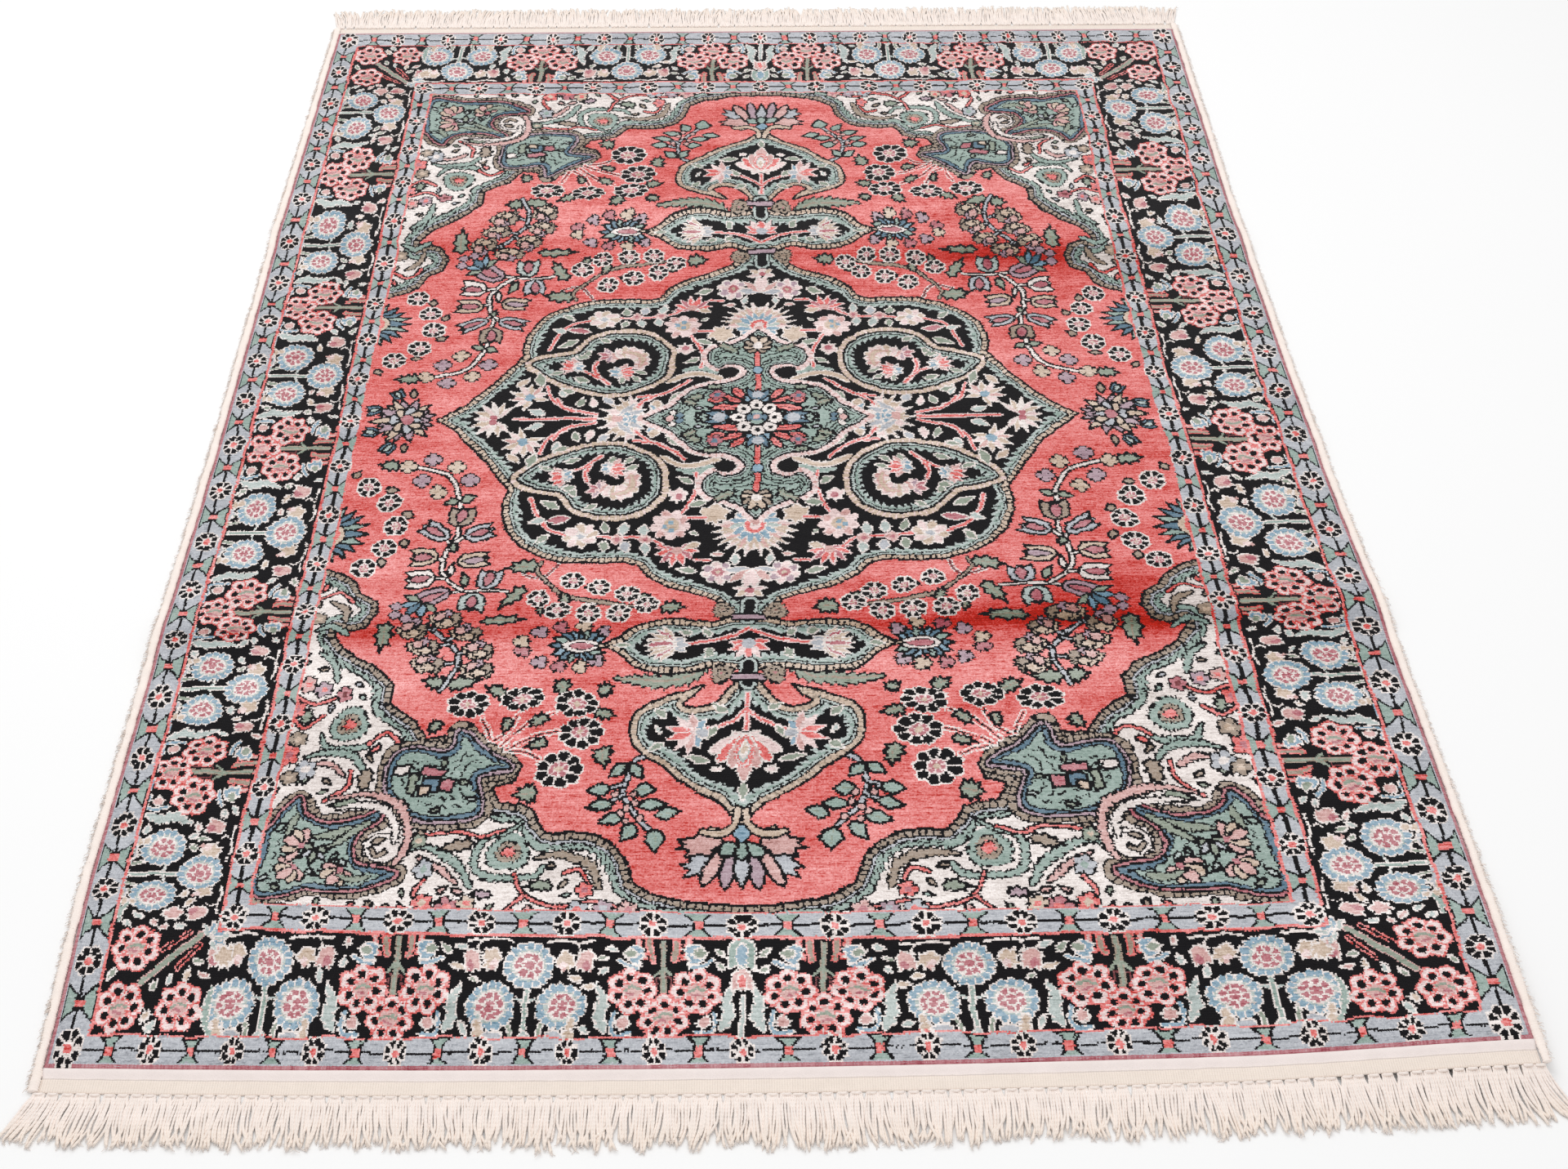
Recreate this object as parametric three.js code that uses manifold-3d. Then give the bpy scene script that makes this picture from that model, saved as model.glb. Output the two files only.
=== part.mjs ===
// A hand-knotted rug laid out on a floor: a knotted pile body, an overcast selvedge along each
// side, a flat-woven kilim end and a fringe of knotted warp ends at each end.
// Millimetres, +Z up. X runs across the rug, the near end is towards -Y, the floor is z = 0.
import * as THREE from 'three';
import { mergeVertices } from 'three/addons/utils/BufferGeometryUtils.js';
import Module from 'manifold-3d';

const wasm = await Module();
wasm.setup();

// Driving dimensions
const pileWidth = 1220;
const pileLength = 1830;
const pileThickness = 5.5;
const selvedgeWidth = 9;
const selvedgeHeight = 5;
const flatWeaveThickness = 2.2;
const seamGap = 0.3;

// Each end of the rug: its side, how deep its flat weave is, and how its fringe falls
const ends = {
  near: { side: -1, kilimDepth: 22, fringeLength: 43, cornerSplay: 26, phase: 0.4 },
  far: { side: 1, kilimDepth: 20, fringeLength: 51, cornerSplay: 15, phase: 2.1 },
};
const fringe = {
  stripDepth: 4, knots: 74, strandsPerKnot: 2, strandPitch: 7.4, rootWidth: 5.6, tipWidth: 3.4,
  height: 1.8, steps: 2, rootSunk: 2.5, sway: 5.5, splayReach: 110, lengthSpread: 5,
};
// The strip hangs a hair above the floor between its strands, so no two faces of the joint coincide
const stripRaise = 0.2;

// The pile's real outline is uneven: distance of its left and right edge from the rug's
// straight centre line, at stations along the rug
const outline = [
  { along: -915, left: 611, right: 613 },
  { along: -700, left: 617, right: 616 },
  { along: -400, left: 615.5, right: 613 },
  { along: -100, left: 612, right: 606 },
  { along: 100, left: 612, right: 603.5 },
  { along: 400, left: 612, right: 602 },
  { along: 700, left: 609, right: 605 },
  { along: 915, left: 607, right: 607 },
];

// Soft ridges left where the rug was folded for storage: place along the rug, half width,
// height, lean of the ridge line across the rug, and how uneven its height is
const creases = [
  { along: -378, reach: 62, height: 4.5, lean: 12, uneven: 0.35, phase: 0.6 },
  { along: 352, reach: 58, height: 4, lean: -16, uneven: 0.45, phase: 2.4 },
  { along: -120, reach: 46, height: 1.6, lean: 26, uneven: 0.6, phase: 4.2 },
];

// The near edge bows out in the middle, and its right corner curls up a little; the far edge is
// drawn in evenly
const nearBow = { start: 250, middle: 14, left: 11.5, right: 9.5 };
const farPull = 6;
const cornerCurl = { across: 0.58, along: 0.7, height: 9 };

// How a ridge's height wanders across the rug: the lengths of its two waves
const ridgeWaves = { short: 570, long: 1460 };

// How neighbouring strands comb sideways together: lengths of the two waves and the second's share
const combWaves = { long: 383, short: 170, share: 0.45 };
const strandWave = { size: 0.9, turns: 5, shift: 0.7 };

const columns = 16;
const selvedgeSides = 6;
const rowStep = { plain: 44, crease: 15.5 };

const halfWidth = pileWidth / 2;
const halfLength = pileLength / 2;
const turn = 2 * Math.PI;

// Smooth step from 0 to 1
function ease(t) {
  const c = Math.min(Math.max(t, 0), 1);
  return c * c * (3 - 2 * c);
}

// An outline column read at any place along the rug, with smooth joins between stations
function outlineAt(column, along) {
  const last = outline.length - 1;
  if (along <= outline[0].along) return outline[0][column];
  if (along >= outline[last].along) return outline[last][column];
  const i = outline.findIndex((row) => row.along > along);
  const [a, b] = [outline[i - 1], outline[i]];
  return a[column] + (b[column] - a[column]) * ease((along - a.along) / (b.along - a.along));
}

// Height of the rug's underside above the floor
function liftAt(across, along) {
  let height = 0;
  for (const crease of creases) {
    const line = crease.along + crease.lean * (across / halfWidth);
    const off = Math.abs(along - line) / crease.reach;
    if (off >= 1) continue;
    const wave = Math.sin((turn * across) / ridgeWaves.short + crease.phase)
      * Math.sin((turn * across) / ridgeWaves.long + crease.phase);
    const fullness = 1 - crease.uneven * (0.5 + 0.5 * wave);
    height += crease.height * fullness * Math.cos((off * Math.PI) / 2) ** 2;
  }
  const curlAcross = ease((across / halfWidth - cornerCurl.across) / (1 - cornerCurl.across));
  const curlAlong = ease((-along / halfLength - cornerCurl.along) / (1 - cornerCurl.along));
  return height + cornerCurl.height * curlAcross * curlAlong;
}

// Where a point of the flat rug lies: across and along it, and its height over the underside
function lie(across, along, height) {
  const left = outlineAt('left', along);
  const right = outlineAt('right', along);
  const share = across / halfWidth;
  const over = Math.max(Math.abs(share) - 1, 0) * halfWidth * Math.sign(share);
  const inside = Math.min(Math.max(share, -1), 1);
  const x = inside * (inside > 0 ? right : left) + over;
  const run = (Math.abs(along) - nearBow.start) / (halfLength - nearBow.start);
  const strength = Math.min(Math.max(run, 0), 1.2) ** 2;
  const bow = (inside > 0 ? nearBow.right : nearBow.left) * inside ** 2 - nearBow.middle;
  const pull = along < 0 ? bow : -farPull;
  return [x, along + pull * strength, height + liftAt(across, along)];
}

// Rows along the pile, closer together over the creases
function creaseRows() {
  const rows = [-halfLength];
  while (rows[rows.length - 1] < halfLength) {
    const at = rows[rows.length - 1];
    const close = (c) => Math.abs(at + rowStep.crease - c.along) < c.reach + rowStep.plain / 2;
    rows.push(at + (creases.slice(0, 2).some(close) ? rowStep.crease : rowStep.plain));
  }
  rows[rows.length - 1] = halfLength;
  return rows;
}

// A box geometry whose points are moved: place(x, y, z) gets the box's own -0.5 to 0.5 shares
function shapedBox(segments, place) {
  const geometry = new THREE.BoxGeometry(1, 1, 1, segments.x, segments.y, segments.z);
  const points = geometry.attributes.position;
  for (let i = 0; i < points.count; i++) {
    points.setXYZ(i, ...place(points.getX(i), points.getY(i), points.getZ(i)));
  }
  return joined(geometry);
}

function joined(geometry) {
  geometry.deleteAttribute('normal');
  geometry.deleteAttribute('uv');
  return mergeVertices(geometry);
}

function toManifold(geometry) {
  const vertProperties = new Float32Array(geometry.attributes.position.array);
  return new wasm.Manifold(new wasm.Mesh({
    numProp: 3, vertProperties, triVerts: new Uint32Array(geometry.index.array),
  }));
}

function fromManifold(solid) {
  const mesh = solid.getMesh();
  const geometry = new THREE.BufferGeometry();
  geometry.setAttribute('position', new THREE.BufferAttribute(mesh.vertProperties, 3));
  geometry.setIndex(new THREE.BufferAttribute(mesh.triVerts, 1));
  return geometry;
}

function pileBody() {
  const rows = creaseRows();
  const last = rows.length - 1;
  return shapedBox({ x: columns, y: last, z: 1 }, (x, y, z) => (
    lie(x * pileWidth, rows[Math.round((y + 0.5) * last)], (z + 0.5) * pileThickness)
  ));
}

// The overcast side: a six-sided bar beside the pile and both flat-woven ends
function selvedge(side) {
  const start = -halfLength - ends.near.kilimDepth;
  const finish = halfLength + ends.far.kilimDepth;
  const rows = [start, ...creaseRows(), finish];
  const last = rows.length - 1;
  const middle = side * (halfWidth + seamGap + selvedgeWidth / 2);
  const bar = new THREE.CylinderGeometry(1, 1, 1, selvedgeSides, last);
  const flat = Math.cos(Math.PI / selvedgeSides);
  const points = bar.attributes.position;
  for (let i = 0; i < points.count; i++) {
    const row = rows[Math.round((points.getY(i) + 0.5) * last)];
    const across = middle + (points.getZ(i) * selvedgeWidth) / 2;
    const height = (0.5 - points.getX(i) / flat / 2) * selvedgeHeight;
    points.setXYZ(i, ...lie(across, row, height));
  }
  return joined(bar);
}

function kilimEnd(end) {
  const inner = halfLength + seamGap;
  const outer = halfLength + end.kilimDepth;
  return shapedBox({ x: columns, y: 2, z: 1 }, (x, y, z) => {
    const depth = inner + (0.5 + y * end.side) * (outer - inner);
    return lie(x * pileWidth, end.side * depth, (z + 0.5) * flatWeaveThickness);
  });
}

// A steady number from -1 to 1 for a strand, so that every build is the same
function uneven(index, salt) {
  const s = Math.sin(index * 12.9898 + salt * 78.233) * 43758.5453;
  return 2 * (s - Math.floor(s)) - 1;
}

// Side drift of a fringe's tips: neighbours drift alike, and the corners splay outwards
function drift(end, across) {
  const reach = halfWidth + selvedgeWidth;
  const comb = Math.sin((turn * across) / combWaves.long + end.phase)
    + combWaves.share * Math.sin((turn * across) / combWaves.short + 2 * end.phase);
  const corner = Math.max(Math.abs(across) - (reach - fringe.splayReach), 0) / fringe.splayReach;
  return fringe.sway * comb * (1 - corner) + Math.sign(across) * end.cornerSplay * corner ** 2;
}

function strand(end, across, index, floorAt) {
  const root = halfLength + end.kilimDepth + seamGap + fringe.stripDepth - fringe.rootSunk;
  const length = end.fringeLength + fringe.rootSunk + fringe.lengthSpread * uneven(index, 3);
  const tipDrift = drift(end, across);
  return shapedBox({ x: 1, y: fringe.steps, z: 1 }, (x, y, z) => {
    const run = y * end.side + 0.5;
    const width = fringe.rootWidth + (fringe.tipWidth - fringe.rootWidth) * run;
    const wave = strandWave.size * Math.sin(run * strandWave.turns + index * strandWave.shift) * run;
    const side = across + x * width + tipDrift * run ** 1.5 + wave;
    const [px, py] = lie(side, end.side * (root + run * length), 0);
    const droop = floorAt * (1 - run) ** 2;
    return [px, py, (z + 0.5) * fringe.height + droop];
  });
}

// The fringe: a narrow strip at the flat weave's edge with all its strands grown from it
function fringeRow(end) {
  const reach = halfWidth + selvedgeWidth;
  const inner = halfLength + end.kilimDepth + seamGap;
  let row = toManifold(shapedBox({ x: columns, y: 1, z: 1 }, (x, y, z) => {
    const depth = inner + (0.5 + y * end.side) * fringe.stripDepth;
    return lie(x * 2 * reach, end.side * depth, (z + 0.5) * fringe.height + stripRaise);
  }));
  const knotPitch = (2 * reach - fringe.rootWidth) / fringe.knots;
  for (let knot = 0; knot < fringe.knots; knot++) {
    for (let i = 0; i < fringe.strandsPerKnot; i++) {
      const middle = -reach + fringe.rootWidth / 2 + (knot + 0.5) * knotPitch;
      const across = middle + (i - (fringe.strandsPerKnot - 1) / 2) * fringe.strandPitch;
      const floorAt = liftAt(across, end.side * inner);
      const index = knot * fringe.strandsPerKnot + i;
      row = row.add(toManifold(strand(end, across, index, floorAt)));
    }
  }
  return fromManifold(row);
}

const wovenIvory = { color: 0xe9dccb, roughness: 0.85, metalness: 0 };
const parts = [
  { name: 'pile_body', geometry: pileBody(), finish: { color: 0xb5524d, roughness: 0.7, metalness: 0 } },
  { name: 'selvedge_left', geometry: selvedge(-1), finish: wovenIvory },
  { name: 'selvedge_right', geometry: selvedge(1), finish: wovenIvory },
  { name: 'kilim_near', geometry: kilimEnd(ends.near), finish: wovenIvory },
  { name: 'kilim_far', geometry: kilimEnd(ends.far), finish: wovenIvory },
  { name: 'fringe_near', geometry: fringeRow(ends.near), finish: wovenIvory },
  { name: 'fringe_far', geometry: fringeRow(ends.far), finish: wovenIvory },
];

const rug = new THREE.Group();
for (const part of parts) {
  const mesh = new THREE.Mesh(part.geometry, new THREE.MeshStandardMaterial(part.finish));
  mesh.name = part.name;
  rug.add(mesh);
}

// The part's origin is under the middle of its box
const box = new THREE.Box3().setFromObject(rug);
const middle = box.getCenter(new THREE.Vector3());
rug.position.set(-middle.x, -middle.y, -box.min.z);
rug.updateMatrixWorld(true);

export default rug;
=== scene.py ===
"""Looks of a hand-knotted rug: charted pile, overcast sides, flat-woven ends and fringes."""
import math

import bmesh
import bpy
import numpy as np
from bpy.props import FloatProperty, FloatVectorProperty, IntProperty, PointerProperty
from mathutils import Matrix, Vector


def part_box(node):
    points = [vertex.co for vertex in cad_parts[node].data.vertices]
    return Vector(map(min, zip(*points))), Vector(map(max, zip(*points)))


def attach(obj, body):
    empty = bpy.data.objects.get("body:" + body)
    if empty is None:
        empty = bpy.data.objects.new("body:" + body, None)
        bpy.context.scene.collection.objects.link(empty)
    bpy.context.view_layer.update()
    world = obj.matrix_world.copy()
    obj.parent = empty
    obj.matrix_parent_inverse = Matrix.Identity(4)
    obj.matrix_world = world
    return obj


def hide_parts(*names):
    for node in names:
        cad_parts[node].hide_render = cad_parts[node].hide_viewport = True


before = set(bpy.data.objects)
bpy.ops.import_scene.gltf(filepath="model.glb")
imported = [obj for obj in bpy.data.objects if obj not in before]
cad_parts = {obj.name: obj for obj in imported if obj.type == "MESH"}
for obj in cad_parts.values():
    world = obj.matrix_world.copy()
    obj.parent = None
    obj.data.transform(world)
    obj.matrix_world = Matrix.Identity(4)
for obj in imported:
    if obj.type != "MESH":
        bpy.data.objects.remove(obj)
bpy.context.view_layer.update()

bl_info = {
    "name": "Knotted Rug",
    "version": (1, 0, 0),
    "blender": (4, 5, 0),
    "location": "View3D > Sidebar > Rug",
    "description": "Builds the pile, sides, woven ends and fringes of a hand-knotted rug",
    "category": "Object",
}

MM = .001

# Dyed wools: key, label and colour as seen (red, green, blue)
WOOLS = (
    ("black", "Black", (.06, .05, .065)), ("ivory", "Ivory", (.945, .90, .88)),
    ("coral", "Coral red", (.915, .43, .415)), ("guard", "Guard grey-blue", (.745, .755, .782)),
    ("teal", "Teal green", (.625, .705, .67)), ("sky", "Sky blue", (.56, .68, .755)),
    ("salmon", "Salmon pink", (.865, .675, .655)), ("rose", "Raspberry rose", (.76, .455, .49)),
    ("beige", "Beige", (.84, .745, .665)), ("olive", "Olive brown", (.675, .60, .535)),
    ("mauve", "Mauve", (.73, .62, .665)), ("blue", "Deep blue", (.40, .515, .59)),
    ("aqua", "Pale aqua", (.745, .79, .775)), ("maroon", "Maroon", (.50, .22, .235)),
    ("blush", "Blush", (.95, .845, .835)), ("leaf", "Leaf green", (.61, .65, .585)),
)
(BLACK, IVORY, CORAL, GUARD, TEAL, SKY, SALMON, ROSE,
 BEIGE, OLIVE, MAUVE, BLUE, AQUA, MAROON, BLUSH, LEAF) = range(len(WOOLS))

# The knots: counted from the middle to the side and to the end; knots along one side of a mesh face
HALF_WIDE, HALF_LONG = 435, 561
BLOCK = 6

# The flat rug, in millimetres, as in the part's source
HALF_WIDTH, HALF_LENGTH = 610., 915.
PILE_HEIGHT, SELVEDGE_WIDTH, SELVEDGE_HEIGHT, FLAT_WEAVE, SEAM = 5.5, 9., 5., 2.2, .3
# Distance between the rows of the part's solid, by the two strong ridges and elsewhere
CLOSE_ROWS, WIDE_ROWS = 15.5, 44
ENDS = {
    "near": {"side": -1, "kilim": 22., "fringe": 43., "splay": 26., "phase": .4},
    "far": {"side": 1, "kilim": 20., "fringe": 51., "splay": 15., "phase": 2.1},
}
STRIP_DEPTH, FRINGE_SWAY, SPLAY_REACH = 4., 2.6, 75.
STATIONS = (-915, -700, -400, -100, 100, 400, 700, 915)
LEFT_EDGE = (611, 617, 615.5, 612, 612, 612, 609, 607)
RIGHT_EDGE = (613, 616, 613, 606, 603.5, 602, 605, 607)
# Soft fold ridges: place, reach, height, lean, unevenness and phase
CREASES = ((-378, 62, 4.5, 12, .35, .6), (352, 58, 4, -16, .45, 2.4), (-120, 46, 1.6, 26, .6, 4.2))
NEAR_BOW = {"start": 250., "middle": 14., "left": 11.5, "right": 9.5}
FAR_PULL = 6.
CORNER_CURL = {"across": .58, "along": .7, "height": 9.}

# Knots from the middle to the inner frame
FRAME_AT = 330
# How the pattern has drifted on the loom, in millimetres: sideways at its middle line and at its
# inner frame on each side, and lengthways at its middle, with more on the near left
MIDDLE_DRIFT = (-40, -39, -29, -17, -13, -3, 2, 3)
LEFT_DRIFT = (3, 3, 3, -.7, -1.8, -4.5, -6.7, -6.7)
RIGHT_DRIFT = (7, 7, 0, -.7, -4, -7, -5.5, -5.5)
BEATEN_AT = (-915, -888, -782, -700, -445, -345, -200, 0, 180, 260, 400, 465, 575, 690, 782, 888, 915)
BEATEN = (0, 5, -3.5, -10, -9.5, -20, -32, -36, -46, -55, -46, -24, -22, -30, -23, -17, 0)
SKEW_AT = (-915, -888, -770, -640, -480, 915)
SKEW = (0, 2.4, 15, 5, 0, 0)
# Bands of painted shade and sheen along the folds, where the nap lies differently: place along the rug,
# reach, change of shade, lean, place across, reach across and seed
PAINTED_FOLD_SHADE = ((-378, 20, -.52, 14, 330, 300, 31), (-372, 17, -.36, 6, -360, 230, 32),
             (-340, 50, -.24, 14, 380, 330, 33), (-440, 42, .16, 6, -330, 260, 35),
             (-290, 40, .1, 0, -420, 240, 36), (-440, 40, .1, 6, 260, 240, 34),
             (352, 28, -.42, -16, 300, 240, 37), (352, 24, -.22, -16, -330, 180, 38),
             (300, 46, -.1, -16, 200, 500, 39), (430, 40, .12, -10, -260, 300, 40),
             (-90, 26, -.1, 20, 420, 200, 41), (130, 30, -.08, 8, -300, 300, 43),
             (-760, 120, .1, 0, 0, 700, 44))
# Painted sheen that pales the pile towards the far end: its strength, where it starts and how far it takes
PAINTED_FAR_SHEEN, FAR_SHEEN_FROM, FAR_SHEEN_OVER = .01, -500, 1400
# Knots from the rug's side between which its trios are moved
SIDE_TRIOS = (26, 94)
# Where the trios of the side border really come, and where the even chart has them, in knots
TRIOS_REAL = (-490, -434, -353, -282, -210, -123, -31, 57, 152, 232, 325, 432, 490)
TRIOS_EVEN = (-490, -423, -338, -254, -169, -85, 0, 85, 169, 254, 338, 423, 490)


# settings

def colour_field(label, about, value):
    """A colour that the panel shows."""
    return FloatVectorProperty(name=label, description=about, size=3, subtype="COLOR_GAMMA", min=0, max=1,
                               default=value)


def length_field(label, about, value, least, most):
    """A length, in metres, that the panel shows."""
    return FloatProperty(name=label, description=about, default=value, min=least, max=most,
                         subtype="DISTANCE", unit="LENGTH")


class RugColours(bpy.types.PropertyGroup):
    """Colours of the dyed wools and of the undyed cotton."""
    __annotations__ = {
        **{key: colour_field(label, f"Colour of the {label.lower()} wool", value)
           for key, label, value in WOOLS},
        "cotton": colour_field("Cotton", "Colour of the undyed warp and weft", (1., .955, .93)),
        "cotton_aged": colour_field("Aged cotton", "Colour of the cotton at the fringe's tips",
                                    (.985, .93, .885)),
        "floor": colour_field("Floor", "Colour of the studio floor", (.985, .985, .985)),
    }


class RugSizes(bpy.types.PropertyGroup):
    """Sizes that shape the look of the rug."""
    pile: length_field("Pile height", "Height of the knotted cloth with its pile", .0055, .003, .02)
    nap: length_field("Uneven nap", "How far the clipped pile rises and falls", .00035, 0, .002)
    wander: FloatProperty(name="Uneven knotting", description="How far the drawing wanders, in knots",
                          default=1.1, min=0, max=4)
    wrap_pitch: length_field("Overcast pitch", "Distance between turns of the yarn", .0026, .001, .01)
    knots: IntProperty(name="Fringe knots", description="Bundles of warp ends along one end",
                       default=108, min=10, max=150)
    yarns: IntProperty(name="Yarns a bundle", description="Warp ends in one bundle",
                       default=6, min=2, max=12)
    yarn: length_field("Yarn diameter", "Diameter of one warp end", .0026, .0005, .004)


# the lie of the cloth

def ease(t):
    """Smooth rise from 0 to 1 as t goes from 0 to 1."""
    c = np.clip(t, 0, 1)
    return c * c * (3 - 2 * c)


def table_at(stations, values, along):
    """A table read at any place along the rug, with smooth joins between its stations."""
    at, value = np.array(stations, float), np.array(values, float)
    q = np.clip(along, at[0], at[-1])
    i = np.clip(np.searchsorted(at, q, side="right") - 1, 0, len(at) - 2)
    return value[i] + (value[i + 1] - value[i]) * ease((q - at[i]) / (at[i + 1] - at[i]))


def lift_at(across, along):
    """Height of the rug's underside above the floor."""
    height = np.zeros(np.broadcast(across, along).shape)
    for at, reach, size, lean, uneven, phase in CREASES:
        off = np.abs(along - (at + lean * across / HALF_WIDTH)) / reach
        wave = np.sin(math.tau * across / 570 + phase) * np.sin(math.tau * across / 1460 + phase)
        full = size * (1 - uneven * (.5 + .5 * wave))
        height = height + np.where(off < 1, full * np.cos(np.minimum(off, 1) * math.pi / 2) ** 2, 0)
    curl = CORNER_CURL
    side = ease((across / HALF_WIDTH - curl["across"]) / (1 - curl["across"]))
    end = ease((-along / HALF_LENGTH - curl["along"]) / (1 - curl["along"]))
    return height + curl["height"] * side * end


def lie(across, along, height):
    """Where a point of the flat rug lies, in millimetres."""
    across, along = np.asarray(across, float), np.asarray(along, float)
    share = across / HALF_WIDTH
    over = np.maximum(np.abs(share) - 1, 0) * HALF_WIDTH * np.sign(share)
    inside = np.clip(share, -1, 1)
    edge = np.where(inside > 0, table_at(STATIONS, RIGHT_EDGE, along), table_at(STATIONS, LEFT_EDGE, along))
    bow = NEAR_BOW
    run = np.clip((np.abs(along) - bow["start"]) / (HALF_LENGTH - bow["start"]), 0, 1.2)
    rise = np.where(inside > 0, bow["right"], bow["left"]) * inside ** 2 - bow["middle"]
    pull = np.where(along < 0, rise, -FAR_PULL)
    x, y, z = inside * edge + over, along + pull * run ** 2, height + lift_at(across, along)
    return np.stack(np.broadcast_arrays(x, y, z), -1)


def drifted(across, along):
    """Where a knot of the even chart sits on the flat rug."""
    share = np.clip(across / HALF_WIDTH, -1, 1)
    outer = HALF_WIDE / FRAME_AT
    inner = np.abs(share) * HALF_WIDE / FRAME_AT
    frame_share = np.where(inner < 1, inner, np.maximum(outer - inner, 0) / (outer - 1))
    lean = np.where(share > 0, table_at(STATIONS, RIGHT_DRIFT, along), table_at(STATIONS, LEFT_DRIFT, along))
    x = across + table_at(STATIONS, MIDDLE_DRIFT, along) * (1 - share ** 2) + lean * frame_share
    skew = table_at(SKEW_AT, SKEW, along) * np.clip(-share * 1.4, 0, 1)
    y = along + table_at(BEATEN_AT, BEATEN, along) + skew
    return x, y


def wander(shape, step, seed):
    """Smooth noise over a grid, from about -1 to 1."""
    rng = np.random.default_rng(seed)
    coarse = rng.uniform(-1, 1, (int(shape[0] / step) + 4, int(shape[1] / step) + 4))
    rows, columns = np.arange(shape[0]) / step, np.arange(shape[1]) / step
    i, j = rows.astype(int), columns.astype(int)
    a, b = ease(rows - i)[:, None], ease(columns - j)[None, :]
    top = coarse[np.ix_(i, j)] * (1 - b) + coarse[np.ix_(i, j + 1)] * b
    low = coarse[np.ix_(i + 1, j)] * (1 - b) + coarse[np.ix_(i + 1, j + 1)] * b
    return top * (1 - a) + low * a


# The knot chart

def curve(points, closed=False, steps=5):
    """Points of a smooth curve through the given ones."""
    p = np.array(points, float)
    if closed:
        p = np.vstack([p[-1], p, p[0], p[1]])
    else:
        p = np.vstack([2 * p[0] - p[1], p, 2 * p[-1] - p[-2]])
    t = (np.arange(steps) / steps)[:, None]
    runs = []
    for a, b, c, d in zip(p, p[1:], p[2:], p[3:]):
        bend = 2 * a - 5 * b + 4 * c - d + t * (3 * (b - c) + d - a)
        runs.append(b + .5 * t * (c - a + t * bend))
    if not closed:
        runs.append(p[-2][None, :])
    return np.vstack(runs)


class Chart:
    """A quarter of the knot chart; x and y are counted in knots from the middle of the rug."""

    def __init__(self):
        self.knots = np.full((HALF_LONG, HALF_WIDE), CORAL, np.uint8)
        self.length = 1.

    def window(self, x0, x1, y0, y1):
        """The chart's knots in a box, and where their middles are."""
        a, b = max(int(x0) - 1, 0), min(int(x1) + 2, HALF_WIDE)
        c, d = max(int(y0) - 1, 0), min(int(y1) + 2, HALF_LONG)
        y, x = np.mgrid[c:max(d, c), a:max(b, a)] + .5
        return self.knots[c:max(d, c), a:max(b, a)], x, y

    def near(self, x, y, reach):
        """Knots round a point, with their distance from it and their bearing."""
        part, gx, gy = self.window(x - reach, x + reach, y - reach, y + reach)
        return part, np.hypot(gx - x, gy - y), np.arctan2(gy - y, gx - x)

    def line(self, points, closed, reach):
        """Knots near a line, with distance, length run, and whether they lie inside it."""
        p = np.asarray(points, float)
        q = np.roll(p, -1, 0) if closed else p[1:]
        p = p if closed else p[:-1]
        lo, hi = np.minimum(p, q).min(0) - reach, np.maximum(p, q).max(0) + reach
        part, x, y = self.window(lo[0], hi[0], lo[1], hi[1])
        best, run, inside = np.full(x.shape, 1e9), np.zeros(x.shape), np.zeros(x.shape, bool)
        length = 0.
        for (ax, ay), (bx, by) in zip(p, q):
            dx, dy = bx - ax, by - ay
            size = math.hypot(dx, dy)
            if size < 1e-6:
                continue
            t = np.clip(((x - ax) * dx + (y - ay) * dy) / size ** 2, 0, 1)
            d = np.hypot(x - ax - t * dx, y - ay - t * dy)
            closer = d < best
            best[closer] = d[closer]
            run[closer] = (length + t * size)[closer]
            if ay != by:
                inside ^= ((ay > y) != (by > y)) & (x < ax + (y - ay) * dx / dy)
            length += size
        self.length = max(length, 1.)
        return part, best, run, inside

    def vine(self, points, colour, width=1.6, edge=BLACK, rim=1.1, teeth=0.):
        """A stem through the points; with teeth, a long leaf with notched sides and a pointed tip."""
        part, d, run, _ = self.line(curve(points), False, width + rim + 2)
        half = width / 2
        if teeth:
            share = run / self.length
            taper = .12 + .5 * np.sin(math.pi * np.minimum(share * .9 + .12, 1)) ** .8
            half = width * taper * (.6 + .75 * ((run / teeth) % 1))
        if edge is not None:
            part[d < half + rim * (1.5 if edge == BLACK else .95)] = edge
        part[d < half] = colour

    def fill(self, points, colour, edge=BLACK, rim=1.1):
        """An edged patch inside a closed outline."""
        part, d, _, inside = self.line(points, True, rim + 2)
        heavy = rim * (1.3 if edge == BLACK else .78)
        part[inside | (d < heavy * .8)] = colour if edge is None else edge
        part[inside & (d > heavy * .62)] = colour

    def shape(self, outline, x, y, turn, wide, long, colour, edge=BLACK, rim=1.1, vein=None):
        """A motif drawn with its foot at the point and its tip in the direction turn."""
        c, s = math.cos(math.radians(turn)), math.sin(math.radians(turn))
        placed = [(x + c * b * long - s * a * wide, y + s * b * long + c * a * wide) for a, b in outline]
        self.fill(placed, colour, edge, rim)
        if vein is not None:
            self.vine([(x + c * long * b, y + s * long * b) for b in (.12, .45, .78)], vein, .8, None)

    def disc(self, x, y, r, colour, squash=1.):
        """A round spot, or an oval one."""
        part, gx, gy = self.window(x - r, x + r, y - r, y + r)
        part[np.hypot(gx - x, (gy - y) / squash) < r] = colour

    def rings(self, x, y, *sizes):
        """Discs one on another: the radius and colour of each, from the largest."""
        for r, colour in zip(sizes[::2], sizes[1::2]):
            self.disc(x, y, r, colour)

    def shapes(self, outline, rows, *look):
        """Motifs of one outline: place, turn, width and length of each, then the look they share."""
        for row in rows:
            self.shape(outline, *row, *look)

    def vines(self, rows, *look):
        """Stems of one look: the points of each."""
        for points in rows:
            self.vine(points, *look)

    def stems(self, rows, *look):
        """Stems with the points, colour and width of each, then the look they share."""
        for row in rows:
            self.vine(*row, *look)


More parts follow.
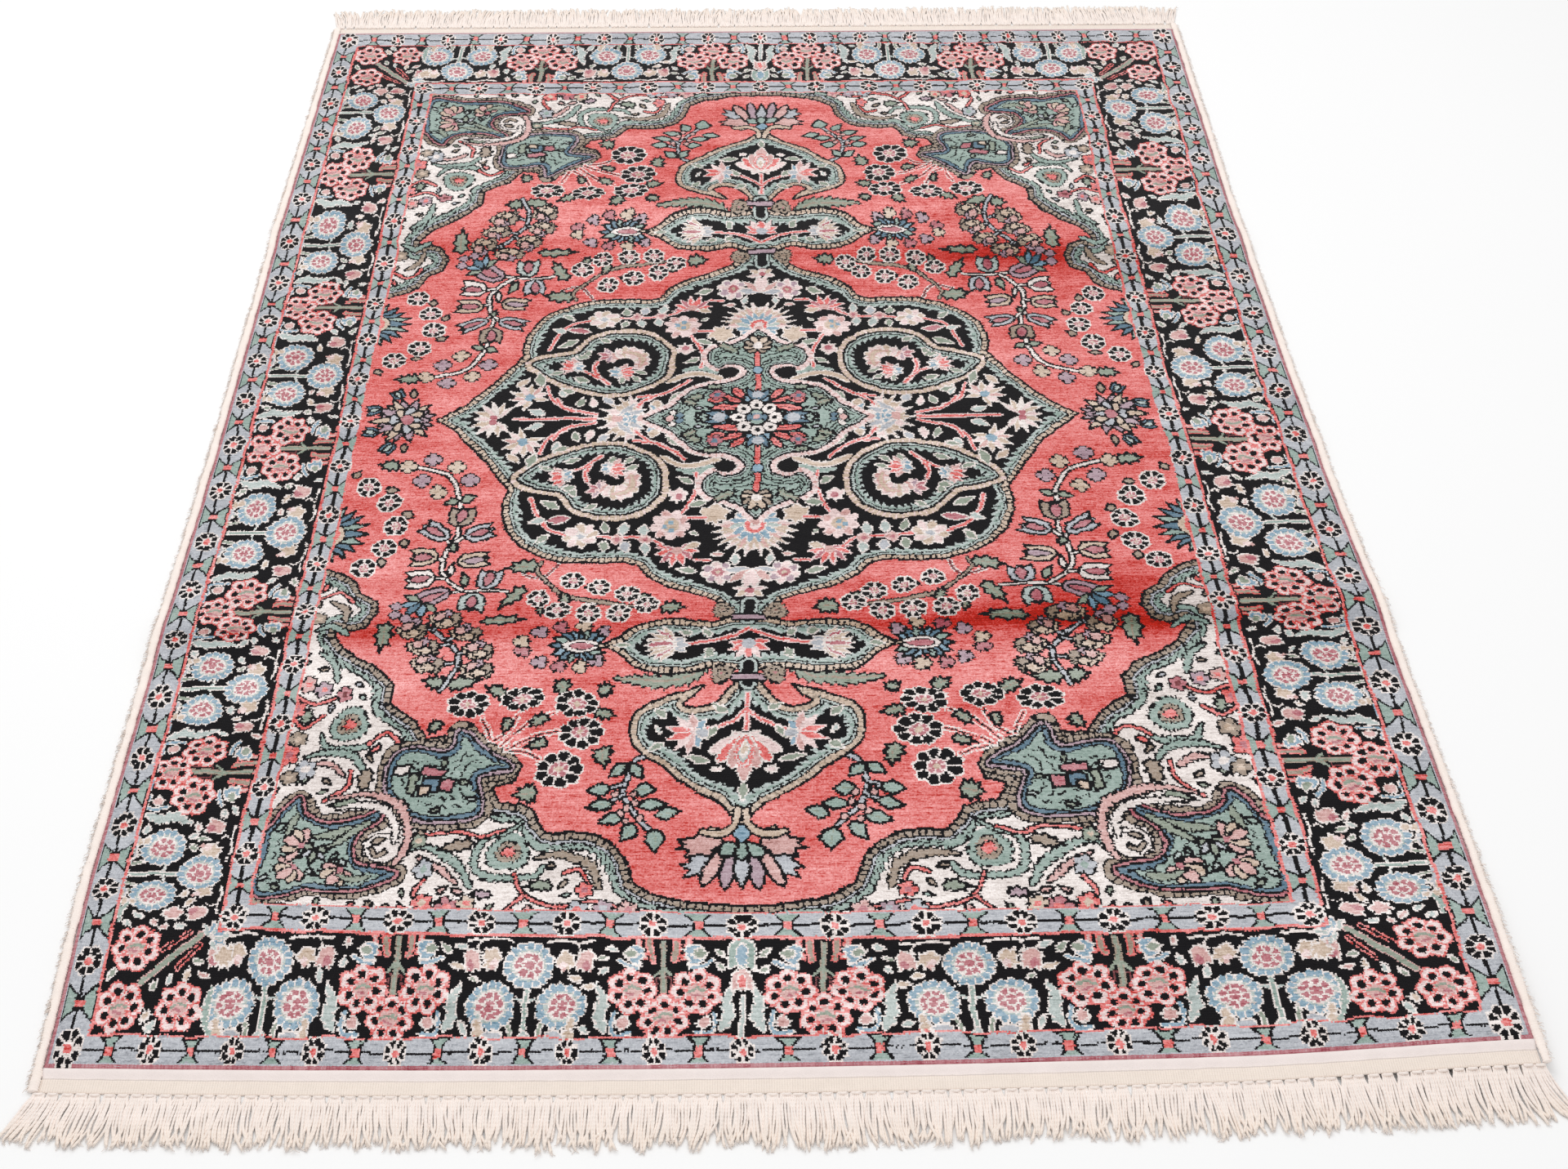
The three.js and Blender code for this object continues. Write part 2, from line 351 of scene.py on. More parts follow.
PETAL = ((0, 0), (.32, .25), (.46, .6), (.27, .9), (0, 1), (-.27, .9), (-.46, .6), (-.32, .25))
POINTED = ((0, 0), (.3, .2), (.46, .48), (.2, .8), (0, 1), (-.2, .8), (-.46, .48), (-.3, .2))
LEAF_CUT = ((0, 0), (.22, .1), (.5, .12), (.3, .3), (.56, .42), (.3, .55), (.4, .75), (.14, .74), (0, 1),
            (-.14, .74), (-.4, .75), (-.3, .55), (-.56, .42), (-.3, .3), (-.5, .12), (-.22, .1))
TULIP = ((-.12, 0), (-.42, .18), (-.5, .6), (-.44, 1.02), (-.2, .86), (0, 1), (.2, .86), (.44, 1.02),
         (.5, .6), (.42, .18), (.12, 0))
MAPLE = ((-.12, 0), (-.3, .2), (-.55, .15), (-.5, .5), (-.3, .6), (-.35, .9), (-.1, .8), (0, 1), (.15, .75),
         (.45, .8), (.4, .5), (.55, .3), (.3, .2), (.12, 0))


def lobes(angle, count, phase=0.):
    """0 between two petals, 1 at the middle of one."""
    return np.abs(np.cos((angle - phase) * count / 2))


def around(x, y, r, count, phase=0.):
    """Points evenly round a point."""
    turns = phase + np.arange(count) * math.tau / count
    return [(x + math.cos(t) * r, y + math.sin(t) * r, math.degrees(t)) for t in turns]


def fan(ch, x, y, turn, spread, count, long, wide, colours, edge, outline=POINTED, rim=1.):
    """Petals side by side round a foot, the middle one last."""
    for k in sorted(range(count), key=lambda k: -abs(k - (count - 1) / 2)):
        off = (k / max(count - 1, 1) - .5) * spread
        colour = colours[int(abs(k - (count - 1) / 2)) % len(colours)]
        ch.shape(outline, x, y, turn + off, wide, long * (1 - .0012 * abs(off)), colour, edge, rim)


def blossom(ch, x, y, r, petals, rings, count, edge, phase=.2):
    """A full flower: rounded petals all round, then rings towards its eye."""
    for k, (px, py, turn) in enumerate(around(x, y, 0, count, phase)):
        ch.shape(PETAL, px, py, turn, r * 5.4 / count, r, petals[k % len(petals)], edge, 1.)
    for size, colour in rings:
        ch.disc(x, y, r * size, colour)


def rosette(ch, x, y, r, petals=8, squash=1.):
    """Round field flower: a pale rim round dark petals, and a rosy heart."""
    part, gx, gy = ch.window(x - r - 1, x + r + 1, y - r - 1, y + r + 1)
    d, a = np.hypot(gx - x, (gy - y) / squash), np.arctan2((gy - y) / squash, gx - x)
    lobe = lobes(a, petals, .39)
    edge = r * (.86 + .16 * lobe ** .7)
    part[d < edge] = IVORY
    part[(d < edge - 1.4) & (d > r * .43) & (d * np.arcsin(lobe) * 2 / petals > .66)] = BLACK
    heart = r * .42 - .9
    part[d < heart] = ROSE
    part[(d < heart) & (lobes(a, 6, .2) < .42)] = BLUSH
    part[d < heart * .42] = BEIGE


def ragged(ch, x, y, r, colour):
    """A disc with a notched, uneven edge."""
    part, d, a = ch.near(x, y, r + 2)
    notch = (a * r / 6.5 + np.sin(2 * a + x)) % 1
    part[d < r * (1 + .07 * np.sin(3 * a + y)) - 2.2 * notch] = colour


def guard_rosette(ch, x, y, r):
    """Eight dark petals parted by thin pale spokes, round a red heart."""
    part, d, a = ch.near(x, y, r + 1)
    lobe = lobes(a, 8, .39)
    part[d < r * (.86 + .18 * lobe) + .9] = IVORY
    part[(d < r * (.84 + .18 * lobe)) & (d > r * .42) & (d * np.arcsin(lobe) / 4 > .6)] = BLACK
    part[d < r * .27] = CORAL


def bow(ch, x, y, upright, half, waist=1.6, flare=2.):
    """Two green wings spread from a red knot between two guard flowers."""
    part, gx, gy = ch.window(x - half - 8, x + half + 8, y - half - 8, y + half + 8)
    along, across = (gx - x, gy - y) if upright else (gy - y, gx - x)
    along, across = np.abs(along), np.abs(across)
    reach = half * (.92 if upright else 1.1)
    side = waist + (reach - waist) * (across / half) ** flare
    part[(across < half) & (along < side + 1.6)] = BLACK
    part[(across < half - .6) & (along < side - .4) & (across > half * .34)] = TEAL
    part[(along < 2.2) & (across < half * .3)] = CORAL


def guard(ch, line, count, pitch, start, upright, half):
    """One guard: the thin joining line, then flowers and bows in turn."""
    for k in range(count):
        at = start - k * pitch
        box = (at - pitch, at, line - 1, line + 1) if upright else (line - 1, line + 1, at - pitch, at)
        part, gx, gy = ch.window(*box)
        off = (gy if upright else gx) - line
        part[np.abs(off) < (.62 if upright else 1.1)] = BLACK
        guard_rosette(ch, *((at, line) if upright else (line, at)), min(half * 1.02, 9.2))
        if at > pitch / 4:
            middle = at - pitch / 2
            bow(ch, *((middle, line) if upright else (line, middle)), upright, half,
                flare=1.8 if upright else 1.15)


def blue_flower(ch, x, y, r=15.2):
    """Border flower with sixteen blue scallops round a heart of rose petals."""
    part, d, a = ch.near(x, y, r + 3)
    lobe = lobes(a, 16)
    edge = r * (.9 + .1 * lobe)
    part[d < edge + 1.] = IVORY
    part[(d < edge) & (lobe > .26)] = SKY
    part[(d < r * .7) & (lobe > .26)] = AQUA
    part[d < r * .62] = IVORY
    part[(d < r * .53) & (d > r * .3) & (lobes(a, 8, .2) > .42)] = ROSE
    part[(d < r * .22)] = ROSE
    part[(d < r * .22) & (np.abs(np.sin(2 * a)) < .3) & (d > r * .08)] = BLUSH


def pink_flower(ch, x, y, r=15.5, turn=0., petals=7):
    """Border flower: horseshoe petals, each round a dark hollow, and a green and rose eye."""
    part, d, a = ch.near(x, y, r + 3)
    lobe = lobes(a, petals, turn)
    part[d < r * (.78 + .24 * lobe) + 1.2] = CORAL
    part[d < r * (.78 + .24 * lobe)] = BLUSH
    part[(lobe < .2) & (d > r * .5) & (d < r * .98)] = CORAL
    part[d < r * .4] = SALMON
    part[(d < r * .46) & (d > r * .34) & (lobe < .6)] = CORAL
    for px, py, _ in around(x, y, r * .62, petals, turn):
        ch.disc(px, py, r * .2, CORAL)
        ch.disc(px, py, r * .165, BLACK)
    ch.vine([(x - r * .32, y - r * .06), (x, y - r * .14), (x + r * .34, y)], LEAF, 2., None)
    ch.vine([(x - r * .1, y + r * .2), (x + r * .22, y + r * .12)], ROSE, 1.8, None)


def trio(ch, onto, centre, kind):
    """Three border flowers on one stem; onto turns places along and outwards into places on the chart."""
    def at(a, o):
        """A place from the trio's middle."""
        return onto(centre + a, o)

    facing = out(onto)
    if kind == "pink":
        for k in (-15, -8.5, 8.5, 15):
            ch.vine([at(k, 1), at(k, 9), at(k * .86, 17 - abs(k) * .3)], SALMON if abs(k) > 9 else OLIVE,
                    2.4, CORAL, 1.3)
        for k in (-3.4, 3.4):
            ch.vine([at(k, 30), at(k, 50)], BLACK, 2., MAROON, 1.)
        ch.vine([at(0, 2), at(0, 20), at(0, 52)], LEAF, 2.2, OLIVE, .7)
        ch.vine([at(-6, 27), at(0, 21), at(6, 27)], LEAF, 1.8, None)
        pink_flower(ch, *at(0, 58), 14.4, 1.1)
        pink_flower(ch, *at(-20, 38), 15.2, .1)
        pink_flower(ch, *at(20, 38), 15.2, .4)
        for s in (-1, 1):
            turned = s if onto is end_place else -s
            ch.shape(TULIP, *at(s * 24, 9), facing + turned * 74, 12, 11, SKY, IVORY)
            ch.shape(PETAL, *at(s * 26, 9), facing + turned * 80, 7, 9, LEAF, IVORY)
            ch.vine([at(s * 17, 20), at(s * 23, 19), at(s * 29, 15)], SKY, 1.8, IVORY, .8)
            ch.vine([at(s * 35, 67), at(s * 39.5, 56), at(s * 38, 46), at(s * 42, 34)], AQUA, 5., IVORY, 1.,
                    6.)
            ch.vine([at(s * 20, 68), at(s * 28, 69), at(s * 31, 62), at(s * 30, 54)], SKY, 1.7, IVORY, .8)
            ch.rings(*at(s * 24, 61), 4.6, IVORY, 3.4, SALMON)
            ch.vine([at(s * 15, 71), at(s * 24, 73.5), at(s * 33, 73)], CORAL, 1.5, None)
    else:
        ch.vine([at(0, 70), at(0, 34)], AQUA, 2.4, IVORY, 1.)
        ch.vine([at(0, 68), at(0, 36)], TEAL, 1.1, None)
        for s in (-1, 1):
            ch.vine([at(0, 68), at(s * 3, 71), at(s * 7, 72.5)], AQUA, 2., IVORY, .8)
            for a, o in ((9, 61), (15.5, 65)):
                ch.vine([at(s * a, 73), at(s * (a + .5), o + 4), at(s * (a + 1.8), o)], LEAF, 2., IVORY, 1.)
            blue_flower(ch, *at(s * 22, 49))
            ch.vine([at(s * 2, 46), at(s * 5, 44.5), at(s * 8, 45)], AQUA, 1., IVORY, .5)
            ch.shape(MAPLE, *at(s * 21, 9), facing - s * 22, 12, 15, BEIGE, IVORY, 1.)
            ch.disc(*at(s * 22, 19), 2.6, BLUSH)
            ch.disc(*at(s * 23, 22), 1.6, SALMON)
            ch.vine([at(s * 11, 3), at(s * 20, 1.5), at(s * 30, 3), at(s * 40, 2.5)], IVORY, 1.5, None)
            ch.vine([at(s * 30, 3), at(s * 33, 8), at(s * 31, 11)], IVORY, 1.2, None)
            ch.shape(TULIP, *at(s * 38, 9), facing + s * 12, 11, 14, SALMON, IVORY, 1.)
            ch.shape(PETAL, *at(s * 38, 16), facing + s * 12, 4, 6, ROSE, None)
            ch.disc(*at(s * 29, 62), 3.5, IVORY)
            ch.disc(*at(s * 28, 68), 3.9, IVORY)
            ch.disc(*at(s * 29, 62), 2.5, BEIGE)
            ch.disc(*at(s * 28, 68), 2.9, BEIGE)
            ch.shape(PETAL, *at(s * 26, 69), inwards(onto, s), 6, 13, GUARD, IVORY)
        blue_flower(ch, *at(0, 20))


def inwards(onto, s):
    """Bearing along the border towards the middle of a trio, from the side s of it."""
    (x0, y0), (x1, y1) = onto(0, 0), onto(-s, 0)
    return math.degrees(math.atan2(y1 - y0, x1 - x0))


def out(onto):
    """Bearing of the border's outer side."""
    (x0, y0), (x1, y1) = onto(0, 0), onto(0, 1)
    return math.degrees(math.atan2(y1 - y0, x1 - x0))


# Where the main border starts at the end and at the side, in knots, and how far it is squeezed at the end
END_START, SIDE_START, END_PRESS = 480.5, 340.5, .92


def end_place(a, o):
    """A place on the end border: knots along it and outwards from its inner line."""
    return a, END_START + o * END_PRESS


def side_place(a, o):
    """The same on the side border."""
    return SIDE_START + o, a


def tulip(ch, x, y, turn, wide, long, petal, heart, edge=BLACK):
    """Cup of pale petals round a coloured one."""
    ch.shape(TULIP, x, y, turn, wide, long, petal, edge, 1.)
    c, d = math.cos(math.radians(turn)) * long * .12, math.sin(math.radians(turn)) * long * .12
    ch.shape(PETAL, x + c, y + d, turn, wide * .5, long * .76, heart, None if wide < 9 else edge, .9)


def bunch(ch, x, y, wide, tall, colours):
    """Small flowers crowded together, each one edged, one of each colour given."""
    count = len(colours)
    for k, colour in enumerate(colours):
        turn, far = 2.4 * k, math.sqrt((count - 1 - k) / count)
        ch.shape(MAPLE, x + (wide - 6) * far * math.cos(turn), y + (tall - 6) * far * math.sin(turn),
                 math.degrees(turn), 10, 9, colour, BLACK, .7)


def bloom(ch, x, y, r, petals, petal, heart, edge=BLACK):
    """Small flower with rounded petals."""
    part, d, a = ch.near(x, y, r + 2)
    lobe = lobes(a, petals)
    part[d < r * (.72 + .34 * lobe)] = edge
    part[d < r * (.72 + .34 * lobe) - 1.2] = petal
    part[(d < r) & (d > r * .42) & (lobe < .22)] = edge
    part[d < r * .34] = heart


def beaded(ch, outline, ground, bead, line, band, rim, wide, teeth, tall, parted=BLACK):
    """Edge of a medallion: beads, a thin pale line, and a band feathered towards the ground."""
    part, d, run, inside = ch.line(outline, True, 24)
    part[inside] = ground
    saw = 1 - (run / teeth) % 1
    reach = 8.4 + wide + tall * saw * (.75 + .5 * np.sin(run / 9.))
    part[inside & (d < reach + 1.5)] = rim
    part[inside & (d < (reach if rim == BLACK else np.minimum(reach - .8, 11.6)))] = band
    if rim == BLACK:
        part[inside & (np.abs(d - reach + 2.4) < .6) & ((run / 8.) % 1 < .6)] = BLACK
    part[inside & (d < 8.2)] = line
    part[inside & (d < 8.3) & (d > 7.1) & ((run / 5.3) % 1 < .84)] = BLACK
    part[inside & (d < 5.9)] = BLACK
    part[inside & (d < 4.8)] = parted
    part[inside & (d < 4.8) & ((run / 4.6) % 1 < .72)] = bead
    part[inside & (d < 1.1)] = BLACK
    part[~inside & (d < 1.)] = BLACK


def scatter(ch, ground, box, colours, edge, seed, gap, tries, long):
    """Small leaves wherever a box of the chart still shows bare ground."""
    rng = np.random.default_rng(seed)
    for _ in range(tries):
        x, y, turn = rng.uniform(box[0], box[1]), rng.uniform(box[2], box[3]), rng.uniform(0, 360)
        part, d, _ = ch.near(x, y, gap + 1)
        if part.size and (part[d < gap] == ground).all():
            size = long * rng.uniform(.8, 1.15)
            c, s = math.cos(math.radians(turn)) * size / 2, math.sin(math.radians(turn)) * size / 2
            outline = (POINTED, LEAF_CUT, PETAL)[rng.integers(3)]
            ch.shape(outline, x - c, y - s, turn, size * .55, size, colours[rng.integers(len(colours))],
                     edge, 1.)


# Stripes of the frame from the edge inwards: end of each at the sides and at the ends, and its colour
STRIPES = ((1.1, 1.1, ROSE), (23, 14.8, GUARD), (24.6, 16.2, CORAL), (95.4, 81.4, BLACK),
           (96.8, 82.6, CORAL), (112.4, 99.6, GUARD), (113.6, 100.8, CORAL))
BORDER = 3


def frames(ch):
    """Stripes of the frame, with the main border kept inside its own lines."""
    y, x = np.mgrid[0:HALF_LONG, 0:HALF_WIDE] + .5
    beyond = [(x > HALF_WIDE - side) | (y > HALF_LONG - end) for side, end, _ in STRIPES]
    for (_, _, colour), part in reversed(list(zip(STRIPES, beyond))):
        ch.knots[part] = colour
    plain = ch.knots.copy()
    main_border(ch)
    outside = beyond[BORDER - 1] | ~beyond[BORDER]
    ch.knots[outside] = plain[outside]


# Guards: middle line, flowers, knots between them, place of the first, whether along the end, half the width
GUARDS = ((552.8, 9, 52.75, 422., True, 6.6), (422.6, 11, 52.57, 552., False, 10.4),
          (470., 7, 55.1, 330.5, True, 8.4), (330.5, 10, 52.2, 470., False, 7.8))


def main_border(ch):
    """Trios along the border, then the flowers of its corner and its small leaves."""
    for run, kinds, centres in ((end_place, ("pink", "blue"), (48, 133, 218, 301)),
                                (side_place, ("blue", "pink"), (423, 338, 254, 169, 85, 0))):
        for k, centre in enumerate(centres):
            trio(ch, run, centre, kinds[k % 2])
    # middle of the end
    tulip(ch, 0, 480, 90, 18, 20, TEAL, SKY, IVORY)
    tulip(ch, 0, 500, 90, 14, 16, SALMON, CORAL, IVORY)
    ch.vine([(0, 548), (0, 520)], AQUA, 2., IVORY, 1.)
    # corner
    ch.vine([(350, 480), (366, 496), (384, 514)], LEAF, 3., SALMON, 1.)
    ch.vines((((358, 478), (374, 492)), ((350, 488), (362, 504))), BLACK, 1.6, CORAL, 1.2)
    fan(ch, 342, 482, 210, 200, 7, 13, 7, (SKY, AQUA), IVORY)
    pink_flower(ch, 356, 528, 15, .2)
    pink_flower(ch, 396, 529, 15.5, .5)
    pink_flower(ch, 392, 490, 15.5, .1)
    ch.shape(MAPLE, 334, 490, 110, 12, 15, BEIGE, IVORY)
    ch.vine([(333, 546), (338, 532), (336, 516)], TEAL, 3.2, IVORY, 1., 3.5)
    ch.shape(MAPLE, 366, 462, 10, 12, 15, SALMON, IVORY)
    ch.vine([(408, 470), (409, 462), (404, 452)], TEAL, 3., IVORY, 1., 3.5)
    scatter(ch, BLACK, (342, 407, 0, 545), (AQUA, SALMON, LEAF, AQUA, BEIGE), IVORY, seed=3, gap=4.8,
            tries=5000, long=8.5)
    scatter(ch, BLACK, (0, 407, 482, 545), (AQUA, SALMON, LEAF, AQUA, BEIGE), IVORY, seed=4, gap=4.4,
            tries=5000, long=8.5)


SPANDREL = ((-30, 455), (0, 455), (30, 453), (57, 447), (70, 438), (74, 424), (82, 410), (96, 402),
            (112, 400), (128, 401), (134, 394), (138, 385), (148, 380), (162, 379), (168, 366), (155, 362),
            (151, 350), (157, 342), (168, 334), (184, 322), (197, 316), (206, 325), (222, 328), (232, 312),
            (246, 302), (253, 296), (253, 280), (264, 268), (280, 258), (294, 248), (303, 236), (303, 226),
            (292, 230), (281, 226), (275, 212), (278, 199), (290, 191), (296, 179), (308, 169), (329, 160),
            (345, 160), (345, 480), (-30, 480))
LAPPET = ((177, 387), (190, 391), (206, 391), (222, 388), (232, 380), (241, 372), (243, 356), (242, 342),
          (234, 335), (218, 337), (206, 339), (200, 333), (197, 321), (186, 330), (172, 341), (158, 351),
          (172, 354), (181, 357), (181, 364), (176, 376))
CORNER = ((226, 431), (236, 440), (250, 446), (272, 447), (286, 446), (300, 450), (321, 451), (321, 406),
          (317, 394), (309, 380), (302, 375), (298, 384), (289, 392), (272, 395), (256, 391), (243, 385),
          (244, 391), (254, 399), (259, 411), (256, 423), (247, 428))


def patch(ch, outline, line):
    """A green patch on the ivory ground: beads, a thin line, a blue rim and a leafy ground."""
    part, d, run, inside = ch.line(curve(outline, True, 4), True, 12)
    uneven = .8 * np.sin(run / 5.) + .6 * np.sin(run / 2.3)
    ring = ~inside & (d < 8. + uneven)
    part[ring] = BLACK
    part[ring & (d < 6.9 + uneven) & (d > 3.8) & ((run / 4.6) % 1 < .74)] = OLIVE
    part[ring & (d < 2.4) & (d > .9)] = line
    part[inside] = BLUE
    part[inside & (d < .9)] = BLACK
    notched = 1.8 * np.abs((run / 6) % 1 - .5) + .9 * np.sin(run / 7)
    part[inside & (d > 2.3 + notched)] = BLACK
    part[inside & (d > 3.5 + notched)] = TEAL
    for off, teeth in ((9.4, 5.), (15., 7.)):
        hatch = np.abs(d - off - 5. * np.abs((run / teeth) % 1 - .5)) < .75
        part[inside & hatch & ((run / 11.) % 1 < .62)] = BLACK


def spandrel(ch):
    """The ivory corner piece with its vines, flowers and green patches."""
    beaded(ch, SPANDREL, IVORY, OLIVE, GUARD, TEAL, BLACK, wide=2.6, teeth=6., tall=3.2)
    # turned leaf ends of the edge band, with a red heart
    for x, y in ((152, 415), (279, 314)):
        for r, colour in ((16., BLACK), (14.7, TEAL), (10., BLACK), (9., OLIVE), (6.2, BLACK), (5., CORAL)):
            ragged(ch, x, y, r, colour)
    ch.vines((
        ((128, 426), (136, 434), (164, 434), (174, 424), (170, 406), (156, 400), (144, 392)),
        ((294, 234), (306, 226), (318, 231)), ((262, 330), (268, 334), (290, 334), (298, 322))
    ), TEAL, 3.6, BLACK, 1., 5.)
    ch.vine([(8, 464), (30, 461), (52, 459)], TEAL, 3.4, BLACK, .9, 5.)
    # vines
    ch.vines((
        ((66, 464), (92, 453), (118, 458), (140, 448), (147, 432)), ((140, 450), (154, 464), (166, 468)),
        ((200, 466), (212, 450), (206, 436)), ((158, 398), (172, 404), (188, 400), (214, 403)),
        ((286, 378), (272, 366), (271, 352)), ((236, 332), (250, 322), (262, 330)),
        ((300, 306), (312, 316), (323, 306)), ((98, 438), (104, 428), (114, 431)),
        ((292, 290), (306, 296), (322, 290)), ((296, 200), (306, 190), (320, 196))
    ), CORAL, 1.9, BLACK, .9)
    ch.stems((
        (((90, 442), (98, 424), (116, 417), (134, 420)), OLIVE, 4.4),
        (((176, 442), (186, 424), (206, 412), (222, 413)), TEAL, 4.2),
        (((186, 440), (198, 427), (214, 419)), SALMON, 3.4),
        (((262, 352), (272, 340), (292, 338), (306, 342)), TEAL, 3.8),
        (((276, 356), (286, 348), (300, 348)), SALMON, 3.2),
        (((296, 278), (300, 262), (312, 252)), TEAL, 3.8), (((296, 220), (300, 208), (312, 200)), OLIVE, 4.)
    ), BLACK, 1., 5.)
    ch.shapes(LEAF_CUT, (
        (122, 440, 10, 9, 18, LEAF), (160, 448, 0, 7, 16, MAUVE), (176, 408, 14, 9, 24, OLIVE),
        (190, 452, 60, 8, 15, LEAF), (212, 396, 80, 8, 15, OLIVE), (258, 350, 80, 12, 22, OLIVE),
        (262, 378, 10, 9, 20, LEAF), (312, 312, 270, 9, 14, LEAF), (300, 360, 350, 9, 16, LEAF)
    ), BLACK, 1.)
    for x, y, r, petal, heart in (
            (72, 459, 8, SALMON, ROSE), (88, 458, 7, MAUVE, GUARD), (104, 460, 8, GUARD, CORAL),
            (100, 444, 7, CORAL, ROSE), (188, 460, 10, ROSE, CORAL), (206, 456, 8, CORAL, BEIGE),
            (176, 456, 7, BEIGE, CORAL), (208, 428, 8, GUARD, TEAL), (304, 352, 9, GUARD, IVORY),
            (314, 358, 7, OLIVE, BEIGE), (314, 326, 8, OLIVE, BEIGE), (288, 288, 7, ROSE, MAROON),
            (304, 284, 7, MAUVE, CORAL), (316, 280, 7, SALMON, CORAL), (319, 340, 9, CORAL, ROSE),
            (321, 300, 8, CORAL, ROSE), (214, 407, 6, LEAF, BEIGE), (318, 218, 7, OLIVE, BEIGE)):
        bloom(ch, x, y, r, 5, petal, heart)
    for outline, line in ((LAPPET, MAUVE), (CORNER, ROSE)):
        patch(ch, outline, line)
    # leaves and blocks of the lappet
    for points, colour in (
            (((195, 360), (205, 361), (205, 370), (196, 370)), ROSE),
            (((202, 353), (219, 350), (221, 356), (210, 359), (203, 358)), ROSE),
            (((206, 360), (218, 360), (218, 371), (207, 371)), BLUE),
            (((212, 366), (220, 366), (220, 373), (213, 373)), BEIGE),
            (((221, 357), (227, 356), (229, 371), (223, 373)), LEAF),
            (((228, 349), (238, 349), (239, 356), (230, 357)), IVORY)):
        ch.fill(points, colour)
    # three sprays of the corner patch
    fan(ch, 284, 414, 85, 200, 5, 13, 6, (LEAF, GUARD), BLACK)
    for x, y, turn in ((264, 430, 60), (296, 428, 45), (294, 412, 335)):
        fan(ch, x, y, turn, 150, 5, 15, 9, (SALMON, BEIGE, SALMON), BLACK, PETAL, .8)
        ch.disc(x, y, 2.4, ROSE)
    ch.vines((
        ((250, 394), (264, 404), (276, 412)), ((262, 398), (274, 402), (288, 404)),
        ((300, 388), (304, 398), (306, 404)), ((244, 436), (256, 438), (266, 434))
    ), LEAF, 3.6, BLACK, .9, 4.)
    scatter(ch, TEAL, (160, 326, 318, 460), (AQUA, LEAF, TEAL, LEAF), BLACK, seed=11, gap=3.3, tries=4000,
            long=8.)
    # pale hooked band between the two patches, round a pale hollow
    ch.rings(238, 413, 12.4, BLACK, 11.2, IVORY)
    ch.stems((
        (((228, 424), (223, 414), (222, 400), (226, 386), (238, 377), (258, 372), (282, 376)), SALMON, 4.4),
        (((231, 408), (231, 396), (238, 386), (254, 381), (276, 383)), IVORY, 3.8)
    ), BLACK, 1., 5.)
    ch.vine([(236, 416), (241, 419), (245, 414)], OLIVE, 2.4, BLACK, .9)
    scatter(ch, IVORY, (0, 323, 160, 462), (OLIVE, LEAF, TEAL, SALMON, OLIVE, CORAL, GUARD), BLACK, seed=12,
            gap=4.4, tries=6000, long=8.5)


